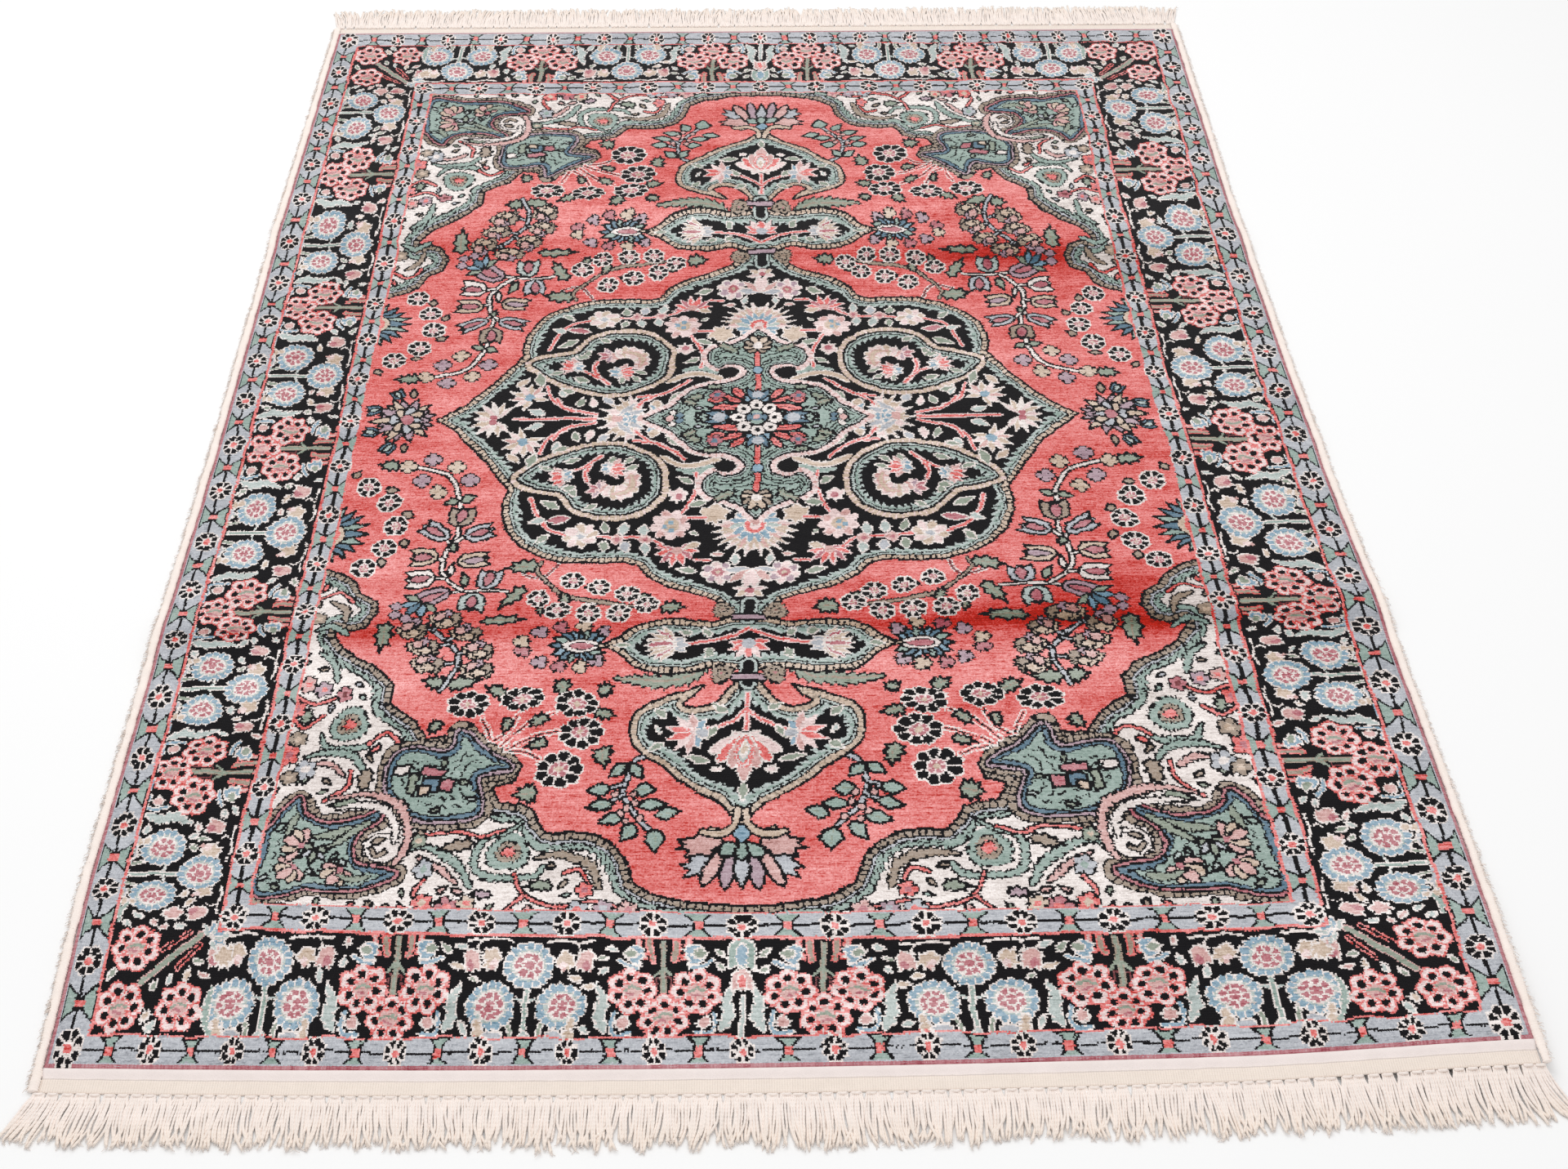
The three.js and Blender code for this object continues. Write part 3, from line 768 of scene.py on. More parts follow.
def field(ch):
    """Sprigs and flowers of the red field."""
    # sprig of teal leaves
    ch.vine([(66, 342), (74, 346), (78, 356), (79, 372), (72, 384), (62, 396), (56, 404)], GUARD, 2.2)
    ch.vines((((78, 372), (88, 378), (94, 378)), ((79, 364), (90, 368))), GUARD, 1.6)
    ch.shapes(POINTED, (
        (58, 398, 100, 16, 17), (70, 394, 60, 12, 15), (56, 388, 190, 11, 16), (78, 388, 20, 10, 17),
        (68, 380, 180, 10, 18), (84, 379, 10, 10, 19), (72, 368, 175, 12, 14), (88, 369, 0, 12, 16),
        (78, 348, 130, 10, 15), (80, 348, 40, 10, 15)
    ), TEAL, BLACK, 1.1, LEAF)
    for x, y in ((70, 378), (76, 392), (84, 372), (72, 372), (76, 382), (66, 390), (80, 386)):
        ch.rings(x, y, 3., BLACK, 2.1, SALMON)
    # five dark rosettes on white stems
    for points in (((140, 344), (152, 338), (164, 337)), ((130, 322), (148, 327), (164, 336)),
                   ((134, 306), (150, 314), (168, 332)), ((158, 306), (164, 320), (174, 328)),
                   ((184, 310), (180, 318), (177, 327))):
        ch.vine(points, CORAL, 2.6, IVORY, 1.1)
        ch.vine(points, BLACK, 1., None)
    ch.shapes(LEAF_CUT, (
        (138, 370, 10, 15, 16), (98, 334, 100, 13, 17), (136, 330, 15, 8, 16), (138, 308, 40, 9, 16),
        (164, 310, 70, 7, 12), (106, 306, 170, 10, 16), (104, 288, 200, 10, 12), (126, 288, 320, 12, 14),
        (170, 290, 335, 10, 18), (214, 312, 60, 9, 14)
    ), LEAF, BLACK, 1.1, OLIVE)
    for x, y, r, squash in ((125, 353, 17, .9), (114, 323, 16.5, .82), (119, 298, 16, .72),
                            (158, 294, 16, .66), (196, 298, 16, .72)):
        rosette(ch, x, y, r, 9, squash)
    # long green leaf over the cartouche
    ch.vine([(30, 264), (42, 276), (64, 280), (92, 277)], LEAF, 8., BLACK, 1.1, 7.)
    ch.vine([(34, 268), (46, 277), (66, 279), (88, 277)], OLIVE, 1.6, None)
    # blue lens flower
    for x, y, colour in ((108, 262, MAUVE), (120, 267, BEIGE), (136, 266, ROSE), (150, 261, MAUVE),
                         (163, 251, ROSE), (163, 242, BEIGE), (151, 233, MAUVE), (136, 228, ROSE),
                         (119, 228, BEIGE), (104, 233, MAUVE)):
        bloom(ch, x, y, 6.6, 3, colour, colour)
    for k, (x, y, turn) in enumerate(around(122, 247, 6, 16)):
        ch.shape(POINTED, x, y, turn, 8, 7 + 9 * abs(math.cos(math.radians(turn))),
                 (BLUE, SKY, BLUE, TEAL)[k % 4])
    for wide, long, colour in ((15, 32, BLACK), (12, 28, IVORY), (8, 20, BLACK), (6, 17, ROSE)):
        ch.shape(PETAL, 121 - long * .56, 247, 0, wide, long, colour, None)
    ch.vine([(92, 247), (106, 247)], BEIGE, 2.)
    # ring of small dark rosettes
    ch.vine([(84, 208), (104, 204), (122, 201), (140, 192), (152, 180), (158, 176)], OLIVE, 2.4, BLACK, .9,
            5.)
    ch.vine([(144, 160), (150, 172), (158, 176), (170, 172)], MAROON, 1.8, IVORY, .8)
    ch.vine([(152, 180), (160, 168), (158, 158)], OLIVE, 2., BLACK, .8)
    ch.shapes(LEAF_CUT, (
        (64, 209, 175, 13, 18), (134, 204, 290, 8, 14), (78, 194, 90, 8, 8), (154, 206, 100, 7, 10),
        (168, 184, 60, 11, 30), (160, 162, 8, 14, 26), (196, 221, 182, 9, 34), (266, 221, 88, 13, 31),
        (120, 190, 250, 6, 8)
    ), LEAF, BLACK, 1.1, OLIVE)
    for x, y in ((75, 206), (95, 215), (117, 214), (140, 211), (156, 198), (90, 194), (111, 187),
                 (132, 179)):
        rosette(ch, x, y, 9.8)
    # branch of beige flowers
    ch.shapes(LEAF_CUT, ((214, 282, 190, 11, 24), (216, 280, 350, 12, 16)), LEAF)
    for points in (((218, 286), (210, 270), (210, 256), (218, 242), (228, 231), (236, 226)),
                   ((210, 266), (200, 268)), ((212, 262), (224, 264)), ((210, 254), (200, 252)),
                   ((217, 244), (228, 247)), ((219, 241), (210, 234)), ((230, 230), (226, 220)),
                   ((236, 226), (244, 230))):
        ch.vine(points, GUARD, 2.2 if len(points) > 2 else 1.4)
    for x, y, wide, tall in ((194, 268, 11, 8), (230, 262, 12, 8.5), (195, 250, 11, 9), (235, 246, 12.5, 8),
                             (205, 233, 10.5, 8), (245, 229, 11, 10), (221, 219, 12.5, 7)):
        bunch(ch, x, y, wide, tall, (BEIGE, OLIVE, MAUVE, BEIGE, OLIVE, SALMON, BEIGE))
    # mauve tulips down the side of the field
    for points in (((180, 189), (204, 188), (228, 190)),
                   ((214, 187), (226, 178), (233, 164), (232, 150), (230, 138)),
                   ((230, 138), (226, 128), (226, 116)), ((230, 175), (240, 174)), ((233, 155), (240, 152)),
                   ((230, 138), (220, 128)), ((230, 138), (234, 130)),
                   ((228, 102), (230, 86), (240, 66), (256, 58), (272, 54))):
        ch.vine(points, IVORY, 2.4 if len(points) > 3 else 1.6)
    ch.shape(POINTED, 211, 184, 290, 8, 17, LEAF)
    ch.shape(POINTED, 226, 172, 265, 6, 15, IVORY)
    ch.shape(LEAF_CUT, 228, 136, 100, 7, 10, LEAF)
    for x, y, turn, wide, long, petal, heart in (
            (204, 191, 88, 20, 20, AQUA, ROSE), (224, 188, 28, 19, 27, MAUVE, ROSE),
            (196, 187, 268, 19, 20, GUARD, ROSE), (237, 174, 6, 19, 22, IVORY, ROSE),
            (222, 156, 188, 18, 23, BEIGE, MAUVE), (238, 151, 2, 19, 22, BEIGE, ROSE),
            (221, 129, 197, 16, 24, GUARD, ROSE), (232, 131, 327, 16, 26, GUARD, ROSE),
            (226, 118, 268, 21, 20, OLIVE, ROSE)):
        tulip(ch, x, y, turn, wide, long, petal, heart)
    fan(ch, 243, 201, 52, 170, 5, 19, 8, (BLUE, SKY, LEAF), BLACK)
    for x, y in ((253, 218), (262, 214), (262, 205)):
        bloom(ch, x, y, 5.4, 4, MAUVE, MAUVE)
    ch.shapes(POINTED, ((228, 92, 210, 8, 12), (230, 90, 20, 8, 12)), LEAF)
    for x, y, petal in ((224, 70, MAUVE), (248, 82, BEIGE), (236, 55, BEIGE), (262, 70, MAUVE),
                        (256, 46, MAUVE), (275, 54, BEIGE)):
        bloom(ch, x, y, 8, 4, petal, petal)
    ch.shape(LEAF_CUT, 281, 53, 355, 12, 19, LEAF)
    # rosettes and blue fan at the side of the field
    fan(ch, 330, 126, 180, 170, 11, 34, 10, (BLUE, TEAL, BLUE), BLACK)
    ch.rings(327, 126, 13, BLACK, 12, BEIGE, 8, CORAL)
    ch.shapes(POINTED, (
        (281, 152, 95, 8, 10), (268, 130, 110, 8, 10), (272, 103, 150, 8, 10), (290, 78, 170, 8, 10),
        (318, 66, 240, 8, 10)
    ), OLIVE)
    for x, y in ((294, 163), (281, 141), (276, 117), (285, 93), (304, 76)):
        rosette(ch, x, y, 10.8)
    # palmette at the tip of the medallion
    fan(ch, 284, 0, 90, 150, 6, 27, 10, (MAUVE, BEIGE, MAUVE), BLACK)
    fan(ch, 284, 0, 0, 120, 5, 31, 10, (BEIGE, MAUVE, BEIGE), BLACK)
    fan(ch, 284, 0, 180, 60, 3, 22, 10, (MAUVE, MAUVE), BLACK)
    blossom(ch, 284, 0, 15, (GUARD, BEIGE), ((.4, BLACK), (.34, ROSE)), 8, BLACK)
    tulip(ch, 292, 26, 60, 11, 12, BLUE, AQUA)
    tulip(ch, 306, 14, 350, 11, 12, BLUE, AQUA)
    ch.shape(POINTED, 282, 26, 90, 7, 12, OLIVE)


MEDALLION = ((13, 232), (16, 216), (25, 203), (45, 193), (62, 187), (78, 175), (86, 163), (96, 159),
             (118, 160), (138, 159), (160, 152), (177, 140), (189, 124), (195, 106), (196, 90), (194, 82),
             (203, 67), (216, 47), (229, 28), (244, 12), (258, 1), (262, -30), (-30, -30), (-30, 252),
             (13, 252))
SCROLL = ((73, 72), (75, 89), (86, 102), (103, 109), (122, 108), (137, 101), (146, 90), (154, 83),
          (170, 79), (187, 71), (178, 58), (162, 46), (144, 37), (124, 32), (104, 34), (86, 44), (76, 57))


def medallion(ch):
    """The dark medallion with its flowers."""
    beaded(ch, MEDALLION, BLACK, BEIGE, AQUA, TEAL, AQUA, wide=.2, teeth=7., tall=4.4)
    scroll(ch)
    # big flower towards the end, and the ones beside it
    fan(ch, 0, 120, 66, 138, 11, 35, 10, (BEIGE, BLUSH, BEIGE, BLUSH), IVORY, LEAF_CUT)
    fan(ch, 0, 120, 66, 130, 9, 26, 5, (SALMON, BEIGE), None)
    fan(ch, 0, 118, 55, 220, 11, 21, 6.5, (SKY, SKY, AQUA), IVORY, PETAL, .7)
    for r, colour in ((8.6, IVORY), (7.2, CORAL), (4.2, BLUSH)):
        ch.disc(0, 120, r, colour)
    blossom(ch, 24, 172, 13, (BLUSH, MAUVE), ((.5, BLUSH), (.36, ROSE), (.16, BEIGE)), 8, IVORY)
    fan(ch, 0, 168, 80, 150, 5, 22, 8, (BLUSH, SALMON, GUARD), IVORY)
    blossom(ch, 64, 119, 15.5, (BLUSH, SALMON), ((.56, BLUSH), (.4, BEIGE)), 9, BLUSH)
    for x, y in ((64, 124), (69, 120), (64, 117)):
        ch.disc(x, y, 2.4, SKY)
    fan(ch, 57, 146, 95, 210, 8, 19, 7, (CORAL, ROSE), BLUSH)
    ch.disc(57, 147, 4.2, SALMON)
    ch.shape(MAPLE, 31, 98, 92, 20, 22, BEIGE, IVORY, 1.)
    ch.shape(MAPLE, 60, 81, 85, 14, 15, BLUSH, IVORY, 1.)
    ch.disc(60, 89, 3., ROSE)
    ch.vines((
        ((66, 144), (76, 135), (96, 132), (118, 131)), ((143, 128), (158, 122), (168, 108), (174, 90)),
        ((56, 106), (49, 92), (46, 78), (47, 64)), ((38, 112), (50, 112)), ((32, 158), (42, 158))
    ), CORAL, 2., BLUSH, 1.)
    for x, y in ((82, 135), (104, 133)):
        bloom(ch, x, y, 5.6, 4, SALMON, ROSE, BLUSH)
    blossom(ch, 131, 130, 13.5, (BEIGE, BLUSH), ((.34, IVORY), (.2, GUARD)), 8, IVORY)
    ch.shapes(POINTED, (
        (40, 172, 340, 8, 16, LEAF), (82, 138, 95, 9, 14, AQUA), (85, 131, 265, 9, 13, AQUA),
        (98, 136, 100, 10, 13, GUARD), (100, 129, 260, 9, 13, AQUA), (112, 135, 80, 9, 12, LEAF),
        (112, 127, 280, 8, 11, LEAF), (140, 112, 8, 9, 22, ROSE), (150, 101, 335, 9, 19, LEAF),
        (156, 128, 45, 8, 14, LEAF), (52, 99, 195, 7, 17, LEAF), (49, 76, 330, 7, 14, LEAF),
        (40, 140, 20, 8, 14, BEIGE), (14, 152, 100, 7, 12, AQUA), (162, 112, 20, 7, 12, AQUA)
    ), IVORY, 1.)
    fan(ch, 0, 190, 90, 200, 5, 13, 7, (BLUSH, BEIGE), IVORY)
    ch.disc(0, 191, 3.4, ROSE)
    # towards the side tip
    fan(ch, 94, 0, 0, 140, 9, 35, 11, (BEIGE, BLUSH, BEIGE), IVORY, LEAF_CUT)
    fan(ch, 112, 0, 180, 110, 5, 26, 9, (SKY, GUARD, GUARD), IVORY)
    for x, y in ((98, 2), (104, 6), (106, 0)):
        ch.rings(x, y, 3., IVORY, 2.1, SKY)
    ch.disc(112, 0, 4.4, SALMON)
    fan(ch, 212, 2, 20, 230, 9, 20, 6.5, (BEIGE, BLUSH, IVORY), IVORY)
    ch.disc(213, 3, 3.4, ROSE)
    fan(ch, 186, 26, 60, 270, 9, 19, 6.5, (BLUSH, BEIGE, SALMON), IVORY)
    ch.disc(186, 26, 4., SKY)
    ch.vines((
        ((56, 48), (70, 35), (82, 28), (97, 26)), ((130, 4), (150, 10), (166, 22), (172, 40)),
        ((130, 0), (164, 0), (196, 0)), ((148, 8), (158, 14), (163, 24)), ((82, 28), (92, 20), (96, 14))
    ), CORAL, 2., BLUSH, 1.)
    ch.shapes(POINTED, (
        (62, 32, 310, 8, 15, LEAF), (84, 22, 250, 10, 13, BEIGE), (132, 12, 80, 8, 14, BLUSH),
        (146, 14, 110, 8, 13, LEAF), (172, 6, 20, 8, 15, AQUA), (176, 40, 75, 9, 19, LEAF),
        (198, 40, 130, 8, 16, BEIGE), (158, 26, 80, 8, 14, AQUA), (80, 4, 60, 8, 14, SKY),
        (118, 18, 50, 8, 12, GUARD), (150, 32, 20, 7, 12, LEAF)
    ), IVORY, 1.)


def scroll(ch):
    """The curled band of the medallion and the flowers it holds."""
    ch.vine([(30, 48), (44, 55), (58, 55), (74, 46)], BEIGE, 4.4, IVORY, 1.2)
    ch.vine([(34, 57), (48, 63), (62, 60)], TEAL, 4., AQUA, 1., 4.)
    part, d, run, inside = ch.line(curve(SCROLL, True, 5), True, 14)
    part[d < 6.6] = BLACK
    part[~inside & (d < 5.4) & (d > 1.)] = BEIGE
    part[~inside & (d < 5.4) & (d > 1.) & ((run / 4.4) % 1 > .78)] = BLUSH
    part[inside] = BLACK
    reach = 4.8 + 4.8 * (1 - (run / 7.) % 1)
    part[inside & (d < reach)] = AQUA
    part[inside & (d < np.minimum(reach - .8, 5.8))] = TEAL
    part[inside & (d < 3.8)] = BLACK
    part[inside & (d < 2.6) & (d > 1.2)] = AQUA
    # crescent flower
    fan(ch, 108, 73, 116, 206, 10, 20, 9.5, (BLUSH, BEIGE, BLUSH, SALMON), IVORY, PETAL)
    ch.vine([(98, 66), (96, 75), (101, 83), (111, 85)], BEIGE, 5., SALMON, 1., 300.)
    ch.disc(111, 69, 8.2, BLACK)
    fan(ch, 122, 81, 350, 150, 4, 11, 6, (ROSE, MAUVE), BLUSH)
    ch.vine([(122, 43), (130, 52), (134, 64), (132, 72)], CORAL, 2.2, BLUSH, 1.2)
    ch.vine([(126, 48), (138, 58), (148, 62)], CORAL, 1.8, BLUSH, 1.)
    for x, y, turn in ((114, 58, 175), (150, 66, 15)):
        fan(ch, x, y, turn, 120, 5, 14, 6.5, (CORAL, CORAL, SALMON), BLUSH)
        fan(ch, x, y, turn + 180, 130, 4, 9, 6, (SKY, GUARD), IVORY)
    ch.shapes(POINTED, (
        (92, 56, 20, 6, 12), (122, 97, 30, 6, 12), (138, 46, 20, 7, 14), (96, 46, 40, 6, 12),
        (160, 60, 340, 6, 12), (140, 88, 300, 7, 12), (140, 78, 10, 7, 12), (112, 44, 80, 6, 9)
    ), LEAF, IVORY, .9)


GREEN = ((0, 114), (7, 106), (14, 99), (24, 93), (36, 89), (42, 80), (40, 70), (33, 64), (25, 68), (14, 66),
         (9, 57), (14, 48), (24, 42), (40, 40), (52, 35), (62, 24), (70, 14), (82, 6), (90, 0))


def heart_of_medallion(ch):
    """The green shape round the very middle."""
    part, d, run, inside = ch.line([*curve(GREEN, False, 5), (94, -30), (-30, -30), (-30, 114)], True, 8)
    part[~inside & (d < 5.6)] = IVORY
    part[~inside & (d < 4.8)] = BLUSH
    part[~inside & (d < 4.8) & ((run / 5) % 1 < .2)] = SALMON
    part[inside] = TEAL
    part[d < .9] = BLACK
    part[inside & (d < 2.8)] = BLACK
    part[inside & (d < 1.9) & (d > .9)] = AQUA
    for off, teeth in ((5.2, 6.), (8., 5.), (12.6, 7.)):
        part[inside & (np.abs(d - off - 1.2 * ((run / teeth) % 1)) < .66)] = BLACK
    ch.disc(24, 58, 8., BLACK, .8)
    ch.shapes(LEAF_CUT, (
        (16, 84, 30, 9, 24), (44, 28, 330, 9, 20), (48, 16, 20, 8, 16), (30, 38, 0, 7, 14)
    ), LEAF, BLACK, .9, OLIVE)
    # stem with blue beads and a flower
    ch.vine([(0, 84), (0, 34)], CORAL, 3.6, BLACK, 1.)
    ch.rings(0, 60, 5.4, BLACK, 4.2, SKY)
    fan(ch, 0, 92, 60, 220, 7, 14, 8, (BEIGE, OLIVE), BLACK, PETAL)
    ch.disc(0, 92, 4, IVORY)
    # blue flowers at the ends and sides, red and rose ones between them
    fan(ch, 0, 20, 60, 140, 5, 18, 9, (BLUE, SKY, BLUE), BLACK)
    ch.disc(0, 28, 4.6, GUARD)
    fan(ch, 20, 0, 15, 70, 5, 25, 8, (BLUE, SKY, BLUE), BLACK)
    ch.disc(30, 0, 5, GUARD)
    for x, y, turn, l in ((10, 14, 352, 28), (10, 18, 18, 27), (10, 22, 52, 17), (24, 20, 8, 16)):
        ch.shape(PETAL, x, y, turn, 9, l, CORAL, BLACK, 1., MAROON)
    bloom(ch, 33, 27, 7, 4, ROSE, BLUE)
    for x, y, colour in ((62, 3, BLUE), (68, 7, IVORY), (70, 1, SALMON)):
        ch.disc(x, y, 3.8, BLACK)
        ch.disc(x, y, 2.8, colour)
    scatter(ch, TEAL, (0, 84, 0, 100), (LEAF, BLUE, TEAL, GUARD, TEAL), BLACK, seed=15, gap=3.4, tries=1200,
            long=7.)
    # white ring at the very middle
    ch.disc(0, 0, 21, BLACK)
    for px, py, _ in around(0, 0, 15.4, 8):
        ch.rings(px, py, 5.6, IVORY, 2., BLACK)
    blossom(ch, 0, 0, 10, (BLUE, TEAL), ((.55, BLUE), (.3, SALMON)), 4, BLACK, 0.)


PENDANT = ((0, 398), (6, 390), (16, 379), (30, 370), (44, 361), (54, 351), (66, 343), (76, 334), (80, 320),
           (77, 306), (66, 297), (52, 291), (40, 287), (30, 284), (37, 292), (44, 299), (33, 303),
           (22, 299), (14, 290), (8, 280), (0, 280))
CARTOUCHE = ((0, 272), (14, 270), (28, 269), (48, 273), (68, 272), (82, 265), (91, 255), (103, 246),
             (91, 238), (80, 228), (66, 223), (48, 222), (28, 225), (14, 220), (0, 220))


def pendants(ch):
    """The pendant and the cartouche beyond the medallion, with the collars that join them."""
    for outline, parted in ((PENDANT, OLIVE), (CARTOUCHE, BLACK)):
        beaded(ch,
               [*curve(outline[:-1], False, 4), outline[-1], (-30, outline[-1][1]), (-30, outline[0][1])],
               BLACK, BEIGE, AQUA, TEAL, AQUA, wide=1., teeth=6., tall=4., parted=parted)
    # flowers of the pendant
    ch.vine([(0, 292), (0, 322)], CORAL, 2.4, BLUSH, 1.2)
    ch.vine([(0, 304), (10, 314), (28, 322)], CORAL, 1.8, BLUSH, 1.)
    fan(ch, 0, 334, 90, 290, 7, 17, 9, (BLUSH, CORAL, SALMON), IVORY)
    fan(ch, 0, 326, 90, 120, 7, 29, 11, (BLUSH, SALMON, CORAL, BLUSH), IVORY, PETAL)
    ch.shape(POINTED, 0, 343, 90, 12, 22, SALMON, IVORY)
    for foot, wide, long, colour in ((327, 14, 25, BLUSH), (329, 10, 20, AQUA), (331, 6, 15, IVORY),
                                     (333, 3, 9, BEIGE)):
        ch.shape(PETAL, 0, foot, 90, wide, long, colour, None if wide < 7 else CORAL, .8)
    fan(ch, 36, 324, 175, 110, 3, 14, 8, (GUARD, SKY), IVORY)
    fan(ch, 36, 324, 0, 170, 6, 19, 7, (CORAL, BLUSH, SALMON), BLUSH)
    ch.shapes(POINTED, (
        (22, 346, 350, 7, 18), (14, 306, 330, 7, 12), (20, 318, 60, 6, 12), (54, 332, 30, 7, 12),
        (0, 364, 90, 8, 14), (56, 310, 320, 7, 12)
    ), LEAF, IVORY, .9)
    # cartouche
    ch.vine([(0, 231), (12, 238), (26, 243), (50, 246)], CORAL, 2., BLUSH, 1.1)
    fan(ch, 54, 246, 180, 70, 3, 12, 8, (GUARD, GUARD), IVORY)
    fan(ch, 52, 246, 0, 120, 9, 22, 6.5, (ROSE, BEIGE, BEIGE), IVORY)
    fan(ch, 0, 246, 90, 200, 7, 17, 7, (CORAL, BLUSH, CORAL), BLUSH)
    ch.disc(0, 246, 5, GUARD)
    ch.shapes(POINTED, (
        (28, 240, 290, 7, 10), (26, 250, 60, 8, 11), (40, 236, 340, 6, 10), (84, 246, 0, 6, 12)
    ), LEAF, IVORY, .9)
    # collars
    for y, bar, eye in ((274, 278, ROSE), (213, 220, MAROON)):
        for wide, colour in ((15., BLACK), (12.4, AQUA), (8., BLACK)):
            ch.vine([(0, y + 8), (0, y - 8)], colour, wide, None)
        ch.vine([(0, bar), (10, bar)], MAUVE, 4.4)
        for r, colour in ((9.6, BLACK), (8.4, OLIVE), (5., BLACK), (4., OLIVE), (2.2, eye)):
            ragged(ch, 19, y, r, colour)
    # fan beyond the pendant
    for outline, x, y, turn, wide, long, colour in (
            (MAPLE, 14, 414, 42, 22, 29, GUARD), (MAPLE, 12, 408, 8, 17, 30, SALMON),
            (PETAL, 10, 410, 62, 10, 34, SALMON), (PETAL, 6, 412, 80, 10, 31, MAUVE),
            (POINTED, 0, 412, 90, 11, 30, GUARD), (PETAL, 3, 408, 42, 10, 14, TEAL),
            (PETAL, 0, 406, 90, 9, 14, TEAL)):
        ch.shape(outline, x, y, turn, wide, long, colour)
    ch.rings(0, 402, 6., BLACK, 4.8, SKY)
    ch.vine([(20, 398), (14, 401), (8, 398)], BEIGE, 2.4)
    ch.vine([(3, 384), (5, 396), (14, 402), (26, 400)], BEIGE, 4.2, BLACK, 1.)


def drawn_chart():
    """The whole chart of one quarter."""
    ch = Chart()
    spandrel(ch)
    field(ch)
    medallion(ch)
    heart_of_medallion(ch)
    pendants(ch)
    scatter(ch, BLACK, (0, 250, 0, 230), (AQUA, BLUSH, LEAF, SALMON, GUARD), IVORY, seed=5, gap=6.,
            tries=3000, long=10.)
    scatter(ch, BLACK, (0, 100, 220, 400), (AQUA, BLUSH), IVORY, seed=6, gap=4.6, tries=600, long=8.)
    frames(ch)
    for row in GUARDS:
        guard(ch, *row)
    return ch


# pieces of mesh

def piece(name, points, faces, uv=None, smooth=True):
    """A mesh object from points in metres and faces of one size, or of several such groups."""
    groups = faces if isinstance(faces, list) else [faces]
    mesh = bpy.data.meshes.new(name)
    corners = np.concatenate([g.ravel() for g in groups])
    sizes = np.concatenate([np.full(len(g), g.shape[1]) for g in groups])
    mesh.vertices.add(len(points))
    mesh.vertices.foreach_set("co", np.asarray(points, np.float32).ravel())
    mesh.loops.add(len(corners))
    mesh.loops.foreach_set("vertex_index", corners.astype(np.int32))
    mesh.polygons.add(len(sizes))
    mesh.polygons.foreach_set("loop_start", (np.cumsum(sizes) - sizes).astype(np.int32))
    mesh.polygons.foreach_set("use_smooth", np.full(len(sizes), smooth))
    for title, values in (uv or {}).items():
        layer = mesh.uv_layers.new(name=title)
        layer.data.foreach_set("uv", np.asarray(values, np.float32).ravel())
    mesh.update(calc_edges=True)
    mesh.validate()
    obj = bpy.data.objects.new(name, mesh)
    bpy.context.scene.collection.objects.link(obj)
    return obj


def grid_faces(rows, columns, start=0, wrap=False):
    """Quads of a grid of points, row by row; wrap joins the last column to the first."""
    i, j = np.meshgrid(np.arange(rows - 1), np.arange(columns if wrap else columns - 1), indexing="ij")
    after = (j + 1) % columns
    row, above = i * columns, (i + 1) * columns
    return np.stack([row + j, row + after, above + after, above + j], -1).reshape(-1, 4) + start


# The shift, once it has been worked out
_kept = {}


def place(points):
    """Millimetres on the flat rug to metres in the shared frame."""
    return (np.asarray(points) + shift()) * MM


def shift():
    """From the rug's own middle to the frame's origin: the pile's box says where the part has it."""
    if "shift" not in _kept:
        across, along = np.meshgrid(np.linspace(-HALF_WIDTH, HALF_WIDTH, 17), pile_rows())
        pile = np.concatenate([lie(across, along, h).reshape(-1, 3) for h in (0., PILE_HEIGHT)])
        low, high = (np.array(corner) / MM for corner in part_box("pile_body"))
        middle = (low + high) / 2 - (pile.min(0) + pile.max(0)) / 2
        _kept["shift"] = np.array([*middle[:2], low[2] - pile[:, 2].min()])
    return _kept["shift"]


def pile_rows():
    """Rows along the pile at which the part's solid is built."""
    rows = [-HALF_LENGTH]
    while rows[-1] < HALF_LENGTH:
        near = any(abs(rows[-1] + CLOSE_ROWS - c[0]) < c[1] + WIDE_ROWS / 2 for c in CREASES[:2])
        rows.append(rows[-1] + (CLOSE_ROWS if near else WIDE_ROWS))
    rows[-1] = HALF_LENGTH
    return rows


def outward(obj):
    """Turns every face outwards."""
    mesh = bmesh.new()
    mesh.from_mesh(obj.data)
    bmesh.ops.recalc_face_normals(mesh, faces=mesh.faces)
    mesh.to_mesh(obj.data)
    mesh.free()


def yarn_map(steps, sides):
    """For each corner of a yarn's quads, its share of the way round and its step along."""
    i, j = np.meshgrid(np.arange(steps - 1), np.arange(sides), indexing="ij")
    u = np.stack([j, j + 1, j + 1, j], -1).reshape(-1, 4) / sides
    return u, np.stack([i, i, i + 1, i + 1], -1).reshape(-1, 4)


